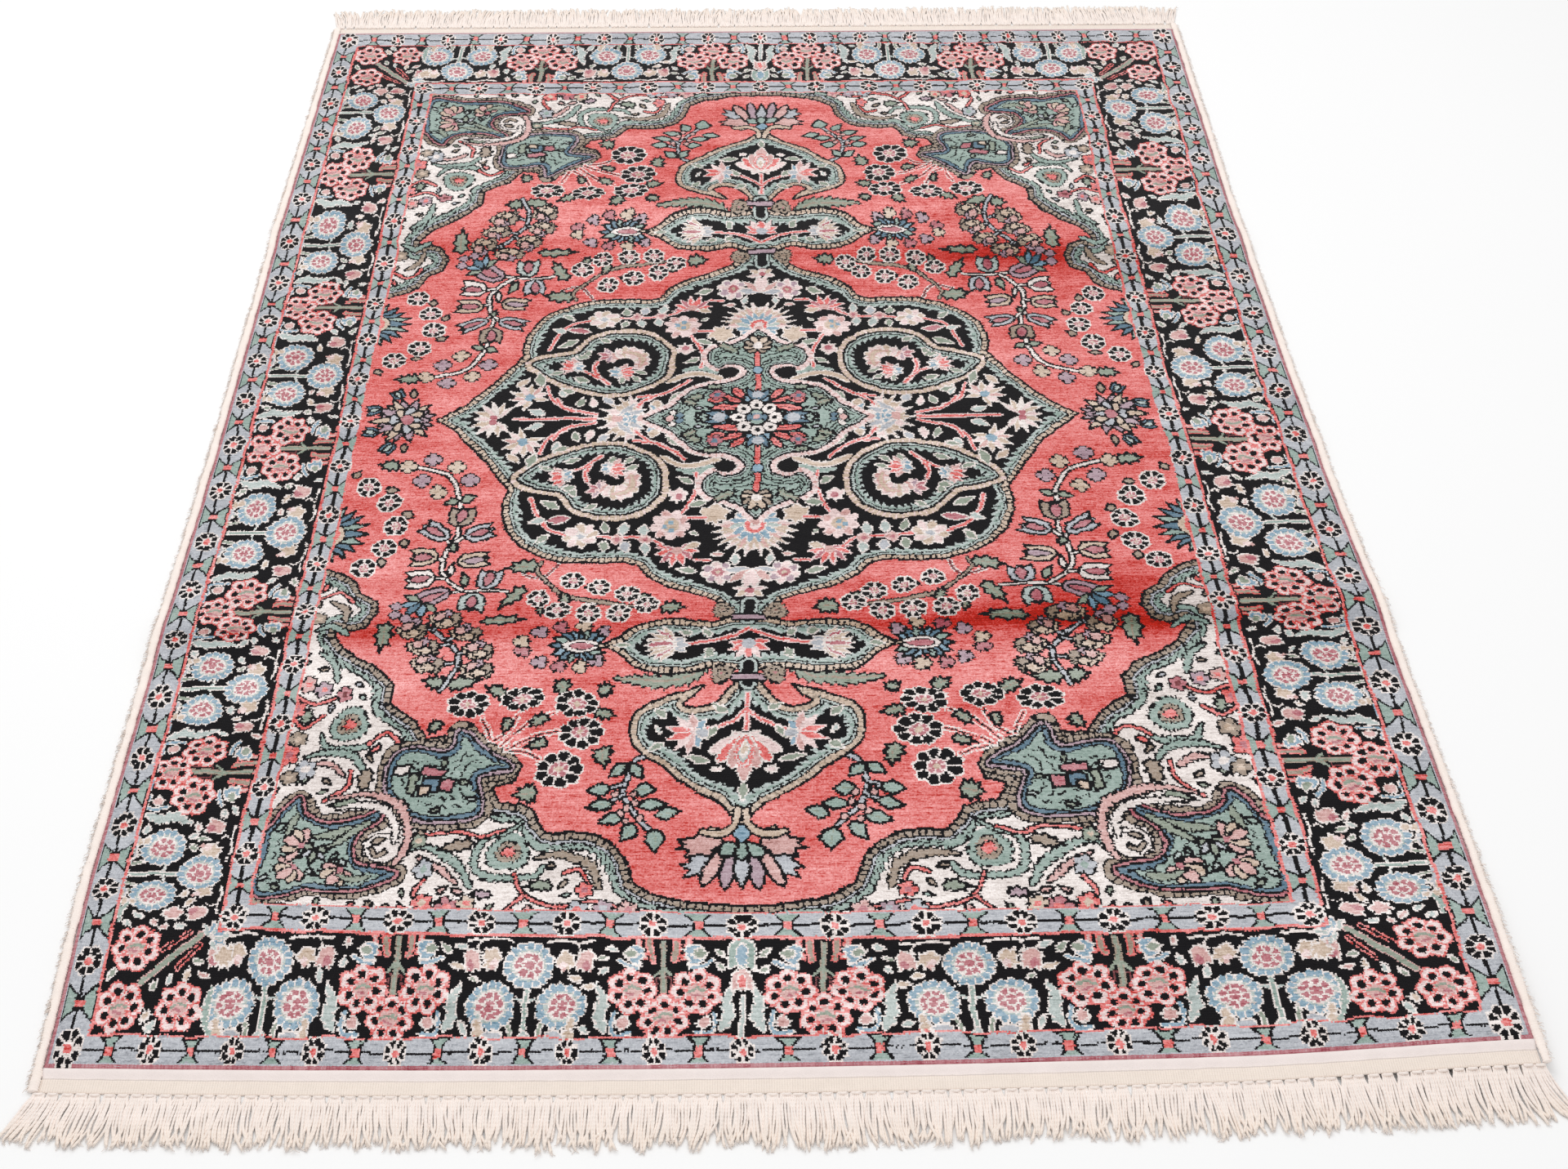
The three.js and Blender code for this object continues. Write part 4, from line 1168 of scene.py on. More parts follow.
def tubes(paths, radius, sides, squash=1.):
    """Round yarns along many paths at once; paths and radius, in millimetres, go by yarn and then by point.

    Gives points, faces and the map of each corner: round the yarn, and along it in millimetres.
    """
    count, steps = paths.shape[:2]
    tangent = np.gradient(paths, axis=1)
    tangent /= np.linalg.norm(tangent, axis=2, keepdims=True)
    side = np.cross(tangent, np.array([0, 0, 1.]))
    side /= np.maximum(np.linalg.norm(side, axis=2, keepdims=True), 1e-6)
    up = np.cross(side, tangent)
    angle = (np.arange(sides) / sides * math.tau)[None, None, :, None]
    outwards = np.cos(angle) * side[:, :, None] + squash * np.sin(angle) * up[:, :, None]
    ring = paths[:, :, None] + radius[:, :, None, None] * outwards
    points = ring.reshape(-1, 3)
    one = grid_faces(steps, sides, 0, True)
    faces = (one[None] + (np.arange(count) * steps * sides)[:, None, None]).reshape(-1, 4)
    base = np.arange(count)[:, None] * steps * sides
    round_yarn = np.arange(sides)[None]
    caps = np.concatenate([base + round_yarn, base + (steps - 1) * sides + round_yarn[:, ::-1]])
    lengths = np.linalg.norm(np.diff(paths, axis=1), axis=2)
    length = np.concatenate([np.zeros((count, 1)), np.cumsum(lengths, 1)], 1)
    u, step = yarn_map(steps, sides)
    v = length[:, step]
    uv = np.stack([np.broadcast_to(u, v.shape), v], -1).reshape(-1, 2)
    cap_uv = np.zeros((len(caps) * sides, 2))
    cap_uv[len(caps) // 2 * sides:, 1] = np.repeat(length[:, -1], sides)
    return points, [faces, caps], np.concatenate([uv, cap_uv])


# finishes

def seen(colour):
    """A colour as seen on a screen, as the light it stands for."""
    c = np.array(tuple(colour)[:3])
    return (*np.where(c <= .04045, c / 12.92, ((c + .055) / 1.055) ** 2.4), 1.)


class Nodes:
    """Short ways to add and join nodes in one tree."""

    def __init__(self, tree):
        self.tree = tree

    def add(self, kind, **settings):
        """A new node of a kind."""
        node = self.tree.nodes.new(kind)
        for key, value in settings.items():
            setattr(node, key, value)
        return node

    def put(self, socket, value):
        """Joins a socket to another, or gives it a value."""
        if isinstance(value, bpy.types.NodeSocket):
            self.tree.links.new(value, socket)
        elif value is not None:
            socket.default_value = value

    def math(self, operation, a, b=None, c=None, clamp=False):
        """Maths on up to three values."""
        node = self.add("ShaderNodeMath", operation=operation, use_clamp=clamp)
        for socket, value in zip(node.inputs, (a, b, c)):
            self.put(socket, value)
        return node.outputs[0]

    def vector(self, operation, *values):
        """Vector maths; gives all its outputs."""
        node = self.add("ShaderNodeVectorMath", operation=operation)
        for socket, value in zip(node.inputs, values):
            self.put(socket, value)
        return node.outputs

    def apart(self, vector):
        """The three parts of a vector."""
        node = self.add("ShaderNodeSeparateXYZ")
        self.put(node.inputs[0], vector)
        return node.outputs

    def spun(self, vector, scale):
        """The shade and height of spun yarn of one fineness."""
        node = self.add("ShaderNodeGroup", node_tree=yarn_group())
        self.put(node.inputs["Vector"], vector)
        node.inputs["Scale"].default_value = scale
        return node.outputs

    def toned(self, colour, value, saturation=None):
        """A colour made lighter or darker, and duller where asked."""
        node = self.add("ShaderNodeHueSaturation")
        self.put(node.inputs["Color"], colour)
        self.put(node.inputs["Value"], value)
        self.put(node.inputs["Saturation"], saturation)
        return node.outputs[0]

    def mix(self, share, a, b):
        """A mix of two colours."""
        node = self.add("ShaderNodeMix", data_type="RGBA")
        self.put(node.inputs[0], share)
        self.put(node.inputs[6], a)
        self.put(node.inputs[7], b)
        return node.outputs[2]

    def uv(self, title):
        """One of the mesh's maps."""
        return self.add("ShaderNodeUVMap", uv_map=title).outputs[0]

    def attribute(self, title):
        """A value that the mesh carries."""
        return self.add("ShaderNodeAttribute", attribute_name=title).outputs["Fac"]

    def noise(self, vector, scale, detail=2., rough=.5):
        """Cloudy noise from 0 to 1."""
        node = self.add("ShaderNodeTexNoise")
        self.put(node.inputs["Vector"], vector)
        self.put(node.inputs["Scale"], scale)
        node.inputs["Detail"].default_value = detail
        node.inputs["Roughness"].default_value = rough
        return node.outputs["Fac"]

    def stretch(self, vector, scale, shift=(0, 0, 0)):
        """A vector scaled and moved."""
        node = self.add("ShaderNodeMapping")
        self.put(node.inputs["Vector"], vector)
        node.inputs["Scale"].default_value = scale
        node.inputs["Location"].default_value = shift
        return node.outputs[0]

    def span(self, value, low, high, to_low=0., to_high=1.):
        """A value brought from one range to another, and kept in it."""
        node = self.add("ShaderNodeMapRange", clamp=True)
        for socket, v in zip(node.inputs, (value, low, high, to_low, to_high)):
            self.put(socket, v)
        return node.outputs[0]


def yarn_group():
    """Unevenness of spun yarn: a value that darkens and lightens it, and the height of its plies."""
    title = "Spun yarn"
    if title in bpy.data.node_groups:
        return bpy.data.node_groups[title]
    tree = bpy.data.node_groups.new(title, "ShaderNodeTree")
    face = tree.interface
    face.new_socket(name="Vector", in_out="INPUT", socket_type="NodeSocketVector")
    for name, default in (("Scale", 300.), ("Stretch", 1.)):
        face.new_socket(name=name, in_out="INPUT", socket_type="NodeSocketFloat").default_value = default
    for name in ("Shade", "Height"):
        face.new_socket(name=name, in_out="OUTPUT", socket_type="NodeSocketFloat")
    n = Nodes(tree)
    inputs, outputs = n.add("NodeGroupInput"), n.add("NodeGroupOutput")
    fine = n.noise(inputs.outputs["Vector"], inputs.outputs["Scale"], 4., .65)
    broad = n.noise(inputs.outputs["Vector"], n.math("MULTIPLY", inputs.outputs["Scale"], .07), 2.)
    shade = n.math("ADD", n.math("MULTIPLY", fine, .6), n.math("MULTIPLY", broad, .4))
    n.put(outputs.inputs["Shade"], shade)
    n.put(outputs.inputs["Height"], fine)
    return tree


def finish_of(title, roughness, sheen):
    """A material with its Principled shader; gives the material, its nodes and that shader."""
    material = bpy.data.materials.new(title)
    material.use_nodes = True
    n = Nodes(material.node_tree)
    shader = material.node_tree.nodes["Principled BSDF"]
    shader.inputs["Roughness"].default_value = roughness
    shader.inputs["Sheen Weight"].default_value = sheen
    shader.inputs["Sheen Roughness"].default_value = .45
    shader.inputs["Specular IOR Level"].default_value = .12
    return material, n, shader


def bump(n, shader, height, strength, distance):
    """Fine relief from a height."""
    node = n.add("ShaderNodeBump")
    node.inputs["Strength"].default_value = strength
    node.inputs["Distance"].default_value = distance
    n.put(node.inputs["Height"], height)
    n.put(shader.inputs["Normal"], node.outputs[0])


# Pale grey of the painted far-end sheen, how fine the fibres are, and how far they stray across and along,
# in knots
PAINTED_SHEEN_GREY = (.80, .78, .77)
FIBRES_A_METRE = 1000
STRAY = (1.8, 1.3)


def pile_finish(colours):
    """Dyed wool pile: each mesh face carries six rows of six knots, each knot one of sixteen wools."""
    material, n, shader = finish_of("Knotted wool pile", .8, .05)
    block, knots = n.uv("block"), n.uv("knots")
    position = n.add("ShaderNodeTexCoord").outputs["Object"]
    # Fibres of one knot stray a little over the next
    stray = n.add("ShaderNodeTexNoise")
    n.put(stray.inputs["Vector"], position)
    stray.inputs["Scale"].default_value = FIBRES_A_METRE
    stray.inputs["Detail"].default_value = 1
    off = n.vector("MULTIPLY_ADD", stray.outputs["Color"], (*STRAY, 0), (-STRAY[0] / 2, -STRAY[1] / 2, 0))
    parts = n.apart(n.vector("ADD", block, off[0])[0])
    column, row = (n.math("FLOOR", n.math("MINIMUM", n.math("MAXIMUM", parts[k], 0.), BLOCK - .01))
                   for k in range(2))
    packed = None
    for k in range(BLOCK):
        chosen = n.math("MULTIPLY", n.math("COMPARE", row, float(k), .1), n.attribute(f"row_{k}"))
        packed = chosen if packed is None else n.math("ADD", packed, chosen)
    wools = float(len(WOOLS))
    passed = n.math("FLOOR", n.math("DIVIDE", packed, n.math("POWER", wools, column)))
    digit = n.math("MODULO", passed, wools)
    ramp = n.add("ShaderNodeValToRGB")
    ramp.color_ramp.interpolation = "CONSTANT"
    stops = ramp.color_ramp.elements
    for k, (key, _, _) in enumerate(WOOLS):
        stop = stops[k] if k < 2 else stops.new(1.)
        stop.position = k / len(WOOLS)
        stop.color = seen(getattr(colours, key))
    n.put(ramp.inputs[0], n.math("DIVIDE", n.math("ADD", digit, .5), wools))
    # Each knot's yarn has taken the dye a little differently, and so has each batch of weft rows
    grain = n.add("ShaderNodeTexWhiteNoise", noise_dimensions="2D")
    n.put(grain.inputs["Vector"], n.vector("FLOOR", knots)[0])
    abrash = n.noise(n.stretch(knots, (.004, .05, 1)), 1., 3.)
    streak = n.noise(n.stretch(knots, (.03, .6, 1), (7, 3, 0)), 1., 2.)
    # Painted shade in short dark gaps between rows of knots
    gap_shade = n.span(n.noise(n.stretch(knots, (.16, .75, 1), (3, 8, 0)), 1., 3., .62), .53, .66)
    cloud = n.noise(n.stretch(knots, (.012, .012, 1), (2, 9, 0)), 1., 3.)
    fibre = n.spun(position, 700)
    # Painted shade and sheen of the fold bands, which the mesh carries as its nap value
    painted_fold_shade = n.attribute("nap")
    shade = None
    for value, amount in ((grain.outputs["Value"], .22), (abrash, .5), (streak, .5), (cloud, .3),
                          (gap_shade, -.34), (fibre["Shade"], .7), (painted_fold_shade, 1.)):
        term = n.math("MULTIPLY", n.math("SUBTRACT", value, .5), amount)
        shade = term if shade is None else n.math("ADD", shade, term)
    dullness = n.math("SUBTRACT", 1.02, n.math("MULTIPLY", shade, .8))
    dyed = n.toned(ramp.outputs[0], n.math("ADD", shade, .86), dullness)
    # Painted sheen: towards the far end the dyed colour is mixed with a pale grey
    n.put(shader.inputs["Base Color"], n.mix(n.attribute("fade"), dyed, seen(PAINTED_SHEEN_GREY)))
    n.put(shader.inputs["Roughness"], n.span(fibre["Shade"], .2, .8, .66, .9))
    # Height: the round head of each tuft, and its cut fibres
    centred = n.vector("SUBTRACT", n.vector("FRACTION", knots)[0], (.5, .5, 0))
    reach = n.vector("LENGTH", centred[0])
    head = n.math("SUBTRACT", 1., n.math("POWER", n.math("MULTIPLY", reach["Value"], 1.4), 2.))
    height = n.math("ADD", n.math("MULTIPLY", head, .5), n.math("MULTIPLY", fibre["Height"], .9))
    height = n.math("ADD", height, n.math("MULTIPLY", grain.outputs["Value"], .35))
    bump(n, shader, height, .7, .0011)
    return material


def cotton_finish(title, colours, tip=None):
    """Undyed cotton: spun yarn, and with tip its length in millimetres, aged and plied towards the tip."""
    material, n, shader = finish_of(title, .86, .3)
    position = n.add("ShaderNodeTexCoord").outputs["Object"]
    spun = n.spun(position, 1100)
    share = n.math("MULTIPLY", n.noise(position, 38., 3.), .75)
    height = n.math("MULTIPLY", spun["Height"], .5)
    if tip:
        along = n.apart(n.uv("yarn"))
        ageing = n.span(along[1], tip * .5, tip * 1.05, 0., .75)
        share = n.math("ADD", n.math("MULTIPLY", share, .6), ageing, clamp=True)
        wound = n.math("MULTIPLY", along[1], 1.6)
        ply = n.math("SINE", n.math("ADD", n.math("MULTIPLY", along[0], math.tau * 2), wound))
        height = n.math("ADD", height, n.math("MULTIPLY", ply, .45))
    colour = n.mix(share, seen(colours.cotton), seen(colours.cotton_aged))
    n.put(shader.inputs["Base Color"], n.toned(colour, n.span(spun["Shade"], .25, .75, .9, 1.07)))
    n.put(shader.inputs["Roughness"], n.span(spun["Shade"], .2, .8, .78, .95))
    bump(n, shader, height, .6, .0005)
    return material


# the rug's pieces

def full_chart(sizes):
    """The quarter chart mirrored over the whole rug, as unevenly drawn as a hand-knotted one."""
    quarter = drawn_chart().knots
    shape = (2 * HALF_LONG, 2 * HALF_WIDE)
    v, u = np.mgrid[0:shape[0], 0:shape[1]] + .5
    u, v = u - HALF_WIDE, v - HALF_LONG
    away = np.minimum(HALF_WIDE - np.abs(u), HALF_LONG - np.abs(v))
    room = np.clip(away / 6, 0, 1) * sizes.wander
    u = u + room * (wander(shape, 17, 5) + .6 * wander(shape, 7, 6))
    v = v + room * (wander(shape, 15, 7) + .6 * wander(shape, 6, 8))
    depth = HALF_WIDE - np.abs(u)
    side = (depth < SIDE_TRIOS[1]) & (depth > SIDE_TRIOS[0]) & (np.abs(v) < TRIOS_REAL[-1])
    v = np.where(side, np.interp(v, TRIOS_REAL, TRIOS_EVEN), v)
    # No two knots pull alike, which frays every outline a little
    rng = np.random.default_rng(9)
    u, v = u + room * rng.uniform(-.32, .32, shape), v + room * rng.uniform(-.15, .15, shape)
    rows = np.clip(np.abs(v), 0, HALF_LONG - 1).astype(int)
    columns = np.clip(np.abs(u), 0, HALF_WIDE - 1).astype(int)
    return quarter[rows, columns]


# How far the top's edge is drawn in and lowered, and the back's height above the floor, in millimetres
EDGE_INSET, EDGE_DROP, BACK_GAP = 2.2, .25, .25
# Where the finishes are baked on the sheet: the share and margin of the top, the share and left margin
# of the back and edge, and the lower margins of the back and of the edge's two rows
BAKE_TOP, BAKE_MARGIN = .97, .005
BAKE_REST, REST_LEFT = .2 / .78, .785
BACK_LOW, WALL_LOW, WALL_STEP = .01, .35, .3


def make_pile(sizes, colours):
    """The knotted cloth: clipped pile above, the knots' backs below, a rounded edge between."""
    chart = full_chart(sizes)
    rows, columns = 2 * HALF_LONG // BLOCK, 2 * HALF_WIDE // BLOCK
    blocks = chart.reshape(rows, BLOCK, columns, BLOCK).astype(np.int64)
    weights = len(WOOLS) ** np.arange(BLOCK)
    packed = (blocks * weights).sum(3)
    thick = sizes.pile / MM
    v, u = np.meshgrid(np.linspace(-HALF_LENGTH, HALF_LENGTH, rows + 1),
                       np.linspace(-HALF_WIDTH, HALF_WIDTH, columns + 1), indexing="ij")
    across, along = drifted(u, v)
    nap = wander(u.shape, 9, 21) * .6 + wander(u.shape, 3, 22) * .4
    # The outermost points of the top are drawn in and lowered, so that the edge is rounded
    at_side, at_end = np.abs(u) > HALF_WIDTH - 1, np.abs(v) > HALF_LENGTH - 1
    top = lie(across * np.where(at_side, 1 - EDGE_INSET / HALF_WIDTH, 1.),
              along * np.where(at_end, 1 - EDGE_INSET / HALF_LENGTH, 1.),
              thick + (nap - .35) * sizes.nap / MM - np.where(at_side | at_end, EDGE_DROP, 0.))
    low = lie(across, along, 0 * u + BACK_GAP)
    count = u.size
    ring = border_index(rows + 1, columns + 1)
    shoulder = lie(across.ravel()[ring], along.ravel()[ring], np.full(len(ring), thick * .72))
    points = np.concatenate([top.reshape(-1, 3), low.reshape(-1, 3), shoulder])
    upper = grid_faces(rows + 1, columns + 1)
    under = grid_faces(rows + 1, columns + 1, count)[:, ::-1]
    after = np.roll(ring, -1)
    mid = 2 * count + np.arange(len(ring))
    mid_after = np.roll(mid, -1)
    wall_top = np.stack([ring, mid, mid_after, after], -1)
    wall_low = np.stack([mid, ring + count, after + count, mid_after], -1)
    # Maps: place in the block, place in the whole chart, and the sheet that finishes are baked to
    i, j = np.meshgrid(np.arange(rows), np.arange(columns), indexing="ij")
    corner = np.array([(0, 0), (1, 0), (1, 1), (0, 1)], float)
    block = np.broadcast_to(corner * BLOCK, (rows * columns, 4, 2))
    whole = (np.stack([j.ravel(), i.ravel()], -1)[:, None] + corner) * BLOCK
    owner, wall_knots = wall_maps(rows, columns)
    under_block, under_whole = block[:, ::-1], whole[:, ::-1]
    bake_top = whole / (2 * HALF_LONG) * BAKE_TOP + BAKE_MARGIN
    bake_low = under_whole / (2 * HALF_LONG) * BAKE_REST + (REST_LEFT, BACK_LOW)
    wall = wall_knots / (2 * HALF_LONG) * BAKE_REST + (REST_LEFT, WALL_LOW)
    wall_block = wall_local(wall_knots, owner, columns)
    uv = {
        "block": corners_of(block, under_block, wall_block, wall_block),
        "knots": corners_of(whole, under_whole, wall_knots, wall_knots),
        "OFBake": corners_of(bake_top, bake_low, wall, wall + (0, WALL_STEP)),
    }
    pile = piece("pile", place(points), [upper, under, wall_top, wall_low], uv)
    for k in range(BLOCK):
        values = packed[:, k].ravel().astype(np.float32)
        layer = pile.data.attributes.new(f"row_{k}", "FLOAT", "FACE")
        layer.data.foreach_set("value", np.concatenate([values, values, values[owner], values[owner]]))
    shading(pile, u, v, ring)
    pile.data.materials.append(pile_finish(colours))
    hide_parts("pile_body")
    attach(pile, "root")
    return pile


def corners_of(*maps):
    """Maps of the corners of several groups of faces as one list."""
    return np.concatenate([m.reshape(-1, 2) for m in maps])


def border_index(rows, columns):
    """Points round a grid's edge, once round."""
    near = np.arange(columns)
    right = np.arange(1, rows) * columns + columns - 1
    far = (rows - 1) * columns + np.arange(columns - 2, -1, -1)
    left = np.arange(rows - 2, 0, -1) * columns
    return np.concatenate([near, right, far, left])


def wall_maps(rows, columns):
    """For each face of the edge, the top face beside it and its corners in knots."""
    wide, long = 2 * HALF_WIDE, 2 * HALF_LONG
    i, j = np.arange(rows), np.arange(columns)
    owner = np.concatenate([j, i * columns + columns - 1, (rows - 1) * columns + j[::-1], i[::-1] * columns])
    x = np.concatenate([j * BLOCK, np.full(rows, wide), wide - j * BLOCK, np.zeros(rows)])
    y = np.concatenate([np.zeros(columns), i * BLOCK, np.full(columns, long), long - i * BLOCK])
    start = np.stack([x, y], -1)
    end = np.roll(start, -1, 0)
    inward = np.repeat(((0, 1), (-1, 0), (0, -1), (1, 0)), (columns, rows, columns, rows), 0)
    # The edge shows the outermost knots' yarn, so its map runs a little inwards
    corners = ((start, .9), (start, .1), (end, .1), (end, .9))
    return owner, np.stack([at + inward * far for at, far in corners], 1)


def wall_local(knots, owner, columns):
    """The same corners counted from the corner of their own block of knots."""
    origin = np.stack([owner % columns, owner // columns], -1)[:, None] * BLOCK
    return (knots - origin).reshape(-1, 2)


def shading(pile, u, v, ring):
    """Painted shade and sheen of the pile: darker and lighter bands along the folds, where the nap lies
    differently, and a paler far end painted as sheen.
    """
    nap = .5 + 0 * u
    # Painted shade and sheen along the folds, band by band
    for place_at, reach, depth, lean, middle, spread, seed in PAINTED_FOLD_SHADE:
        line = place_at + lean * u / HALF_WIDTH + 6 * wander(u.shape, 12, seed)
        strength = .75 + .25 * wander(u.shape, 16, seed + 1)
        strength = strength * np.exp(-((u - middle) / spread) ** 2)
        nap = nap + depth * strength * np.exp(-((v - line) / reach) ** 2)
    # Painted sheen that pales the pile towards the far end
    fade = PAINTED_FAR_SHEEN * ease((v - FAR_SHEEN_FROM) / FAR_SHEEN_OVER)
    for title, values in (("nap", nap), ("fade", fade)):
        layer = pile.data.attributes.new(title, "FLOAT", "POINT")
        flat = values.ravel()
        layer.data.foreach_set("value", np.concatenate([flat, flat, flat[ring]]).astype(np.float32))


def make_selvedge(side, colours, sizes):
    """One overcast side: yarn wound turn by turn round the edge warps."""
    start, finish = -HALF_LENGTH - ENDS["near"]["kilim"], HALF_LENGTH + ENDS["far"]["kilim"]
    pitch = sizes.wrap_pitch / MM
    turns = int((finish - start) / pitch)
    per_turn, sides = 4, 12
    steps = turns * per_turn + 1
    at = np.linspace(start, finish, steps)
    phase = np.arange(steps) / per_turn
    rng = np.random.default_rng(50 + side)
    slack = rng.uniform(.86, 1.04, turns + 1) + .12 * wander((turns + 1, 1), 5, 52 + side)[:, 0]
    loose = np.repeat(slack, per_turn)[:steps]
    round_turn = .86 + .14 * np.abs(np.sin(np.pi * phase)) ** .7
    angle = np.arange(sides) / sides * math.tau
    slant = .8 * np.cos(angle)
    middle = side * (HALF_WIDTH + SEAM + SELVEDGE_WIDTH / 2 + .5 * wander((steps, 1), 26, 54 + side))
    girth = (round_turn * loose)[:, None]
    across = middle + np.cos(angle)[None] * SELVEDGE_WIDTH / 2 * girth
    height = SELVEDGE_HEIGHT / 2 * (1 + np.sin(angle)[None] * girth)
    along = np.clip(at[:, None] + slant[None] * side, start, finish)
    points = lie(across, along, height).reshape(-1, 3)
    faces = grid_faces(steps, sides, 0, True)
    caps = np.stack([np.arange(sides)[::-1], (steps - 1) * sides + np.arange(sides)])
    u, step = yarn_map(steps, sides)
    uv = np.concatenate([np.stack([u, at[step]], -1).reshape(-1, 2), np.zeros((2 * sides, 2))])
    points, faces, uv = joined([(points, [faces, caps], uv), fluff(side, start, finish, rng)])
    name = "overcast_left" if side < 0 else "overcast_right"
    wrap = piece(name, place(points), faces, {"yarn": uv})
    outward(wrap)
    wrap.data.materials.append(cotton_finish(f"Overcast cotton {name[9:]}", colours))
    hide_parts("selvedge_left" if side < 0 else "selvedge_right")
    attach(wrap, "root")
    return wrap


# Short fibres along one side
SIDE_FIBRES = 5000


def fluff(side, start, finish, rng):
    """Short fibres that stand out of the overcast yarn and soften its outline."""
    count = SIDE_FIBRES
    run = np.linspace(0, 1, 4)
    root = HALF_WIDTH + SEAM + SELVEDGE_WIDTH * rng.uniform(.35, .93, (count, 1))
    across = side * (root + rng.uniform(.8, 5.6, (count, 1)) * run)
    lean = rng.normal(0, 1.6, (count, 1))
    along = rng.uniform(start + 2, finish - 2, (count, 1)) + lean * run ** 1.5
    height = SELVEDGE_HEIGHT * rng.uniform(.35, .8, (count, 1)) * (1 - .75 * run ** 2) + .4
    paths = lie(across, np.clip(along, start, finish), height)
    return tubes(paths, np.full((count, 1), .5) * (1 - .5 * run), 3)


def make_kilim(key):
    """One flat-woven end: a soft ivory stripe beside the pile, a thin line, then ribbed weave."""
    end = ENDS[key]
    inner, outer = HALF_LENGTH + SEAM, HALF_LENGTH + end["kilim"]
    rows, columns = 25, 611
    depth, across = np.meshgrid(np.linspace(inner, outer, rows),
                                np.linspace(-HALF_WIDTH, HALF_WIDTH, columns), indexing="ij")
    share = (depth - inner) / (outer - inner)
    soft = ease((.36 - share) / .06)
    ripple = wander(depth.shape, 5, 61 + end["side"])
    shoulder = ease((.34 - share) / .34) ** .7
    height = FLAT_WEAVE - .35 + 3.1 * shoulder - .5 * np.exp(-((share - .39) / .03) ** 2) + .12 * ripple
    height = height + .1 * np.cos(across * math.pi / 2.5) * (1 - soft)
    height = np.where(share > .999, height - .5, height)
    top = lie(across, end["side"] * depth, height)
    low = lie(across, end["side"] * depth, 0 * height + .15)
    count = depth.size
    ring = border_index(rows, columns)
    after = np.roll(ring, -1)
    wall = np.stack([ring, ring + count, after + count, after], -1)
    upper, under = grid_faces(rows, columns), grid_faces(rows, columns, count)[:, ::-1]
    flat = np.stack([across, depth - inner], -1).reshape(-1, 2)
    both = np.concatenate([flat, flat])
    corners = np.concatenate([f.ravel() for f in (upper, under, wall)])
    name = f"flat_weave_{key}"
    points = np.concatenate([top.reshape(-1, 3), low.reshape(-1, 3)])
    weave = piece(name, place(points), [upper, under, wall], {"weave": both[corners]})
    outward(weave)
    weave.data.materials.append(kilim_finish(f"Flat-woven cotton {key}", outer - inner))
    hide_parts(f"kilim_{key}")
    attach(weave, "root")
    return weave


# Shades of the flat-woven ends' cotton: two of the stripe and two of the ribs, then the line between them
# and the painted shade in the gaps between the ribs
STRIPE_COTTON = ((.99, .945, .93), (.965, .915, .90))
RIBBED_COTTON = ((.985, .935, .895), (.975, .915, .865))
LINE_COTTON, GAP_SHADE_COTTON = (.70, .65, .66), (.82, .74, .67)


def kilim_finish(title, depth):
    """Flat weave: a soft stripe beside the pile, a thin greyer line, then ribbed cotton."""
    material, n, shader = finish_of(title, .86, .25)
    position = n.add("ShaderNodeTexCoord").outputs["Object"]
    spun = n.spun(position, 900)
    flat = n.apart(n.uv("weave"))
    stray = n.math("MULTIPLY", n.math("SUBTRACT", n.noise(position, 60.), .5), .06)
    share = n.math("ADD", n.math("DIVIDE", flat[1], depth), stray)
    stripe = n.span(share, .33, .39, 1., 0.)
    line = n.math("MULTIPLY", n.span(share, .35, .385), n.span(share, .385, .42, 1., 0.))
    soft = n.mix(n.noise(position, 45., 3.), *map(seen, STRIPE_COTTON))
    streak = n.noise(n.stretch(n.uv("weave"), (.012, .6, 1)), 1., 2.)
    ribbed = n.mix(streak, *map(seen, RIBBED_COTTON))
    colour = n.mix(stripe, ribbed, soft)
    colour = n.mix(n.math("MULTIPLY", line, .5), colour, seen(LINE_COTTON))
    warp = n.math("ABSOLUTE", n.math("SINE", n.math("MULTIPLY", flat[0], math.pi / 2.1)))
    weft = n.math("ABSOLUTE", n.math("SINE", n.math("MULTIPLY", flat[1], math.pi / 1.3)))
    # Painted shade in the gaps between the warp ribs, outside the soft stripe
    gap_shade = n.math("MULTIPLY", n.math("SUBTRACT", 1., stripe), n.span(warp, 0., .45, 1., 0.))
    colour = n.mix(n.math("MULTIPLY", gap_shade, .28), colour, seen(GAP_SHADE_COTTON))
    n.put(shader.inputs["Base Color"], n.toned(colour, n.span(spun["Shade"], .25, .75, .92, 1.05)))
    woven = n.math("ADD", n.math("MULTIPLY", warp, .8), n.math("MULTIPLY", weft, .5))
    height = n.math("ADD", n.math("MULTIPLY", woven, n.math("SUBTRACT", 1., stripe)), spun["Height"])
    bump(n, shader, height, .6, .0006)
    return material


def drift_of(end, across):
    """Side drift of a fringe's tips: neighbours comb alike, and the corners splay outwards."""
    reach = HALF_WIDTH + SELVEDGE_WIDTH
    broad = np.sin(math.tau * across / 383 + end["phase"])
    comb = broad + .45 * np.sin(math.tau * across / 170 + 2 * end["phase"])
    corner = np.maximum(np.abs(across) - (reach - SPLAY_REACH), 0) / SPLAY_REACH
    return FRINGE_SWAY * comb * (1 - corner) + np.sign(across) * end["splay"] * corner ** 2


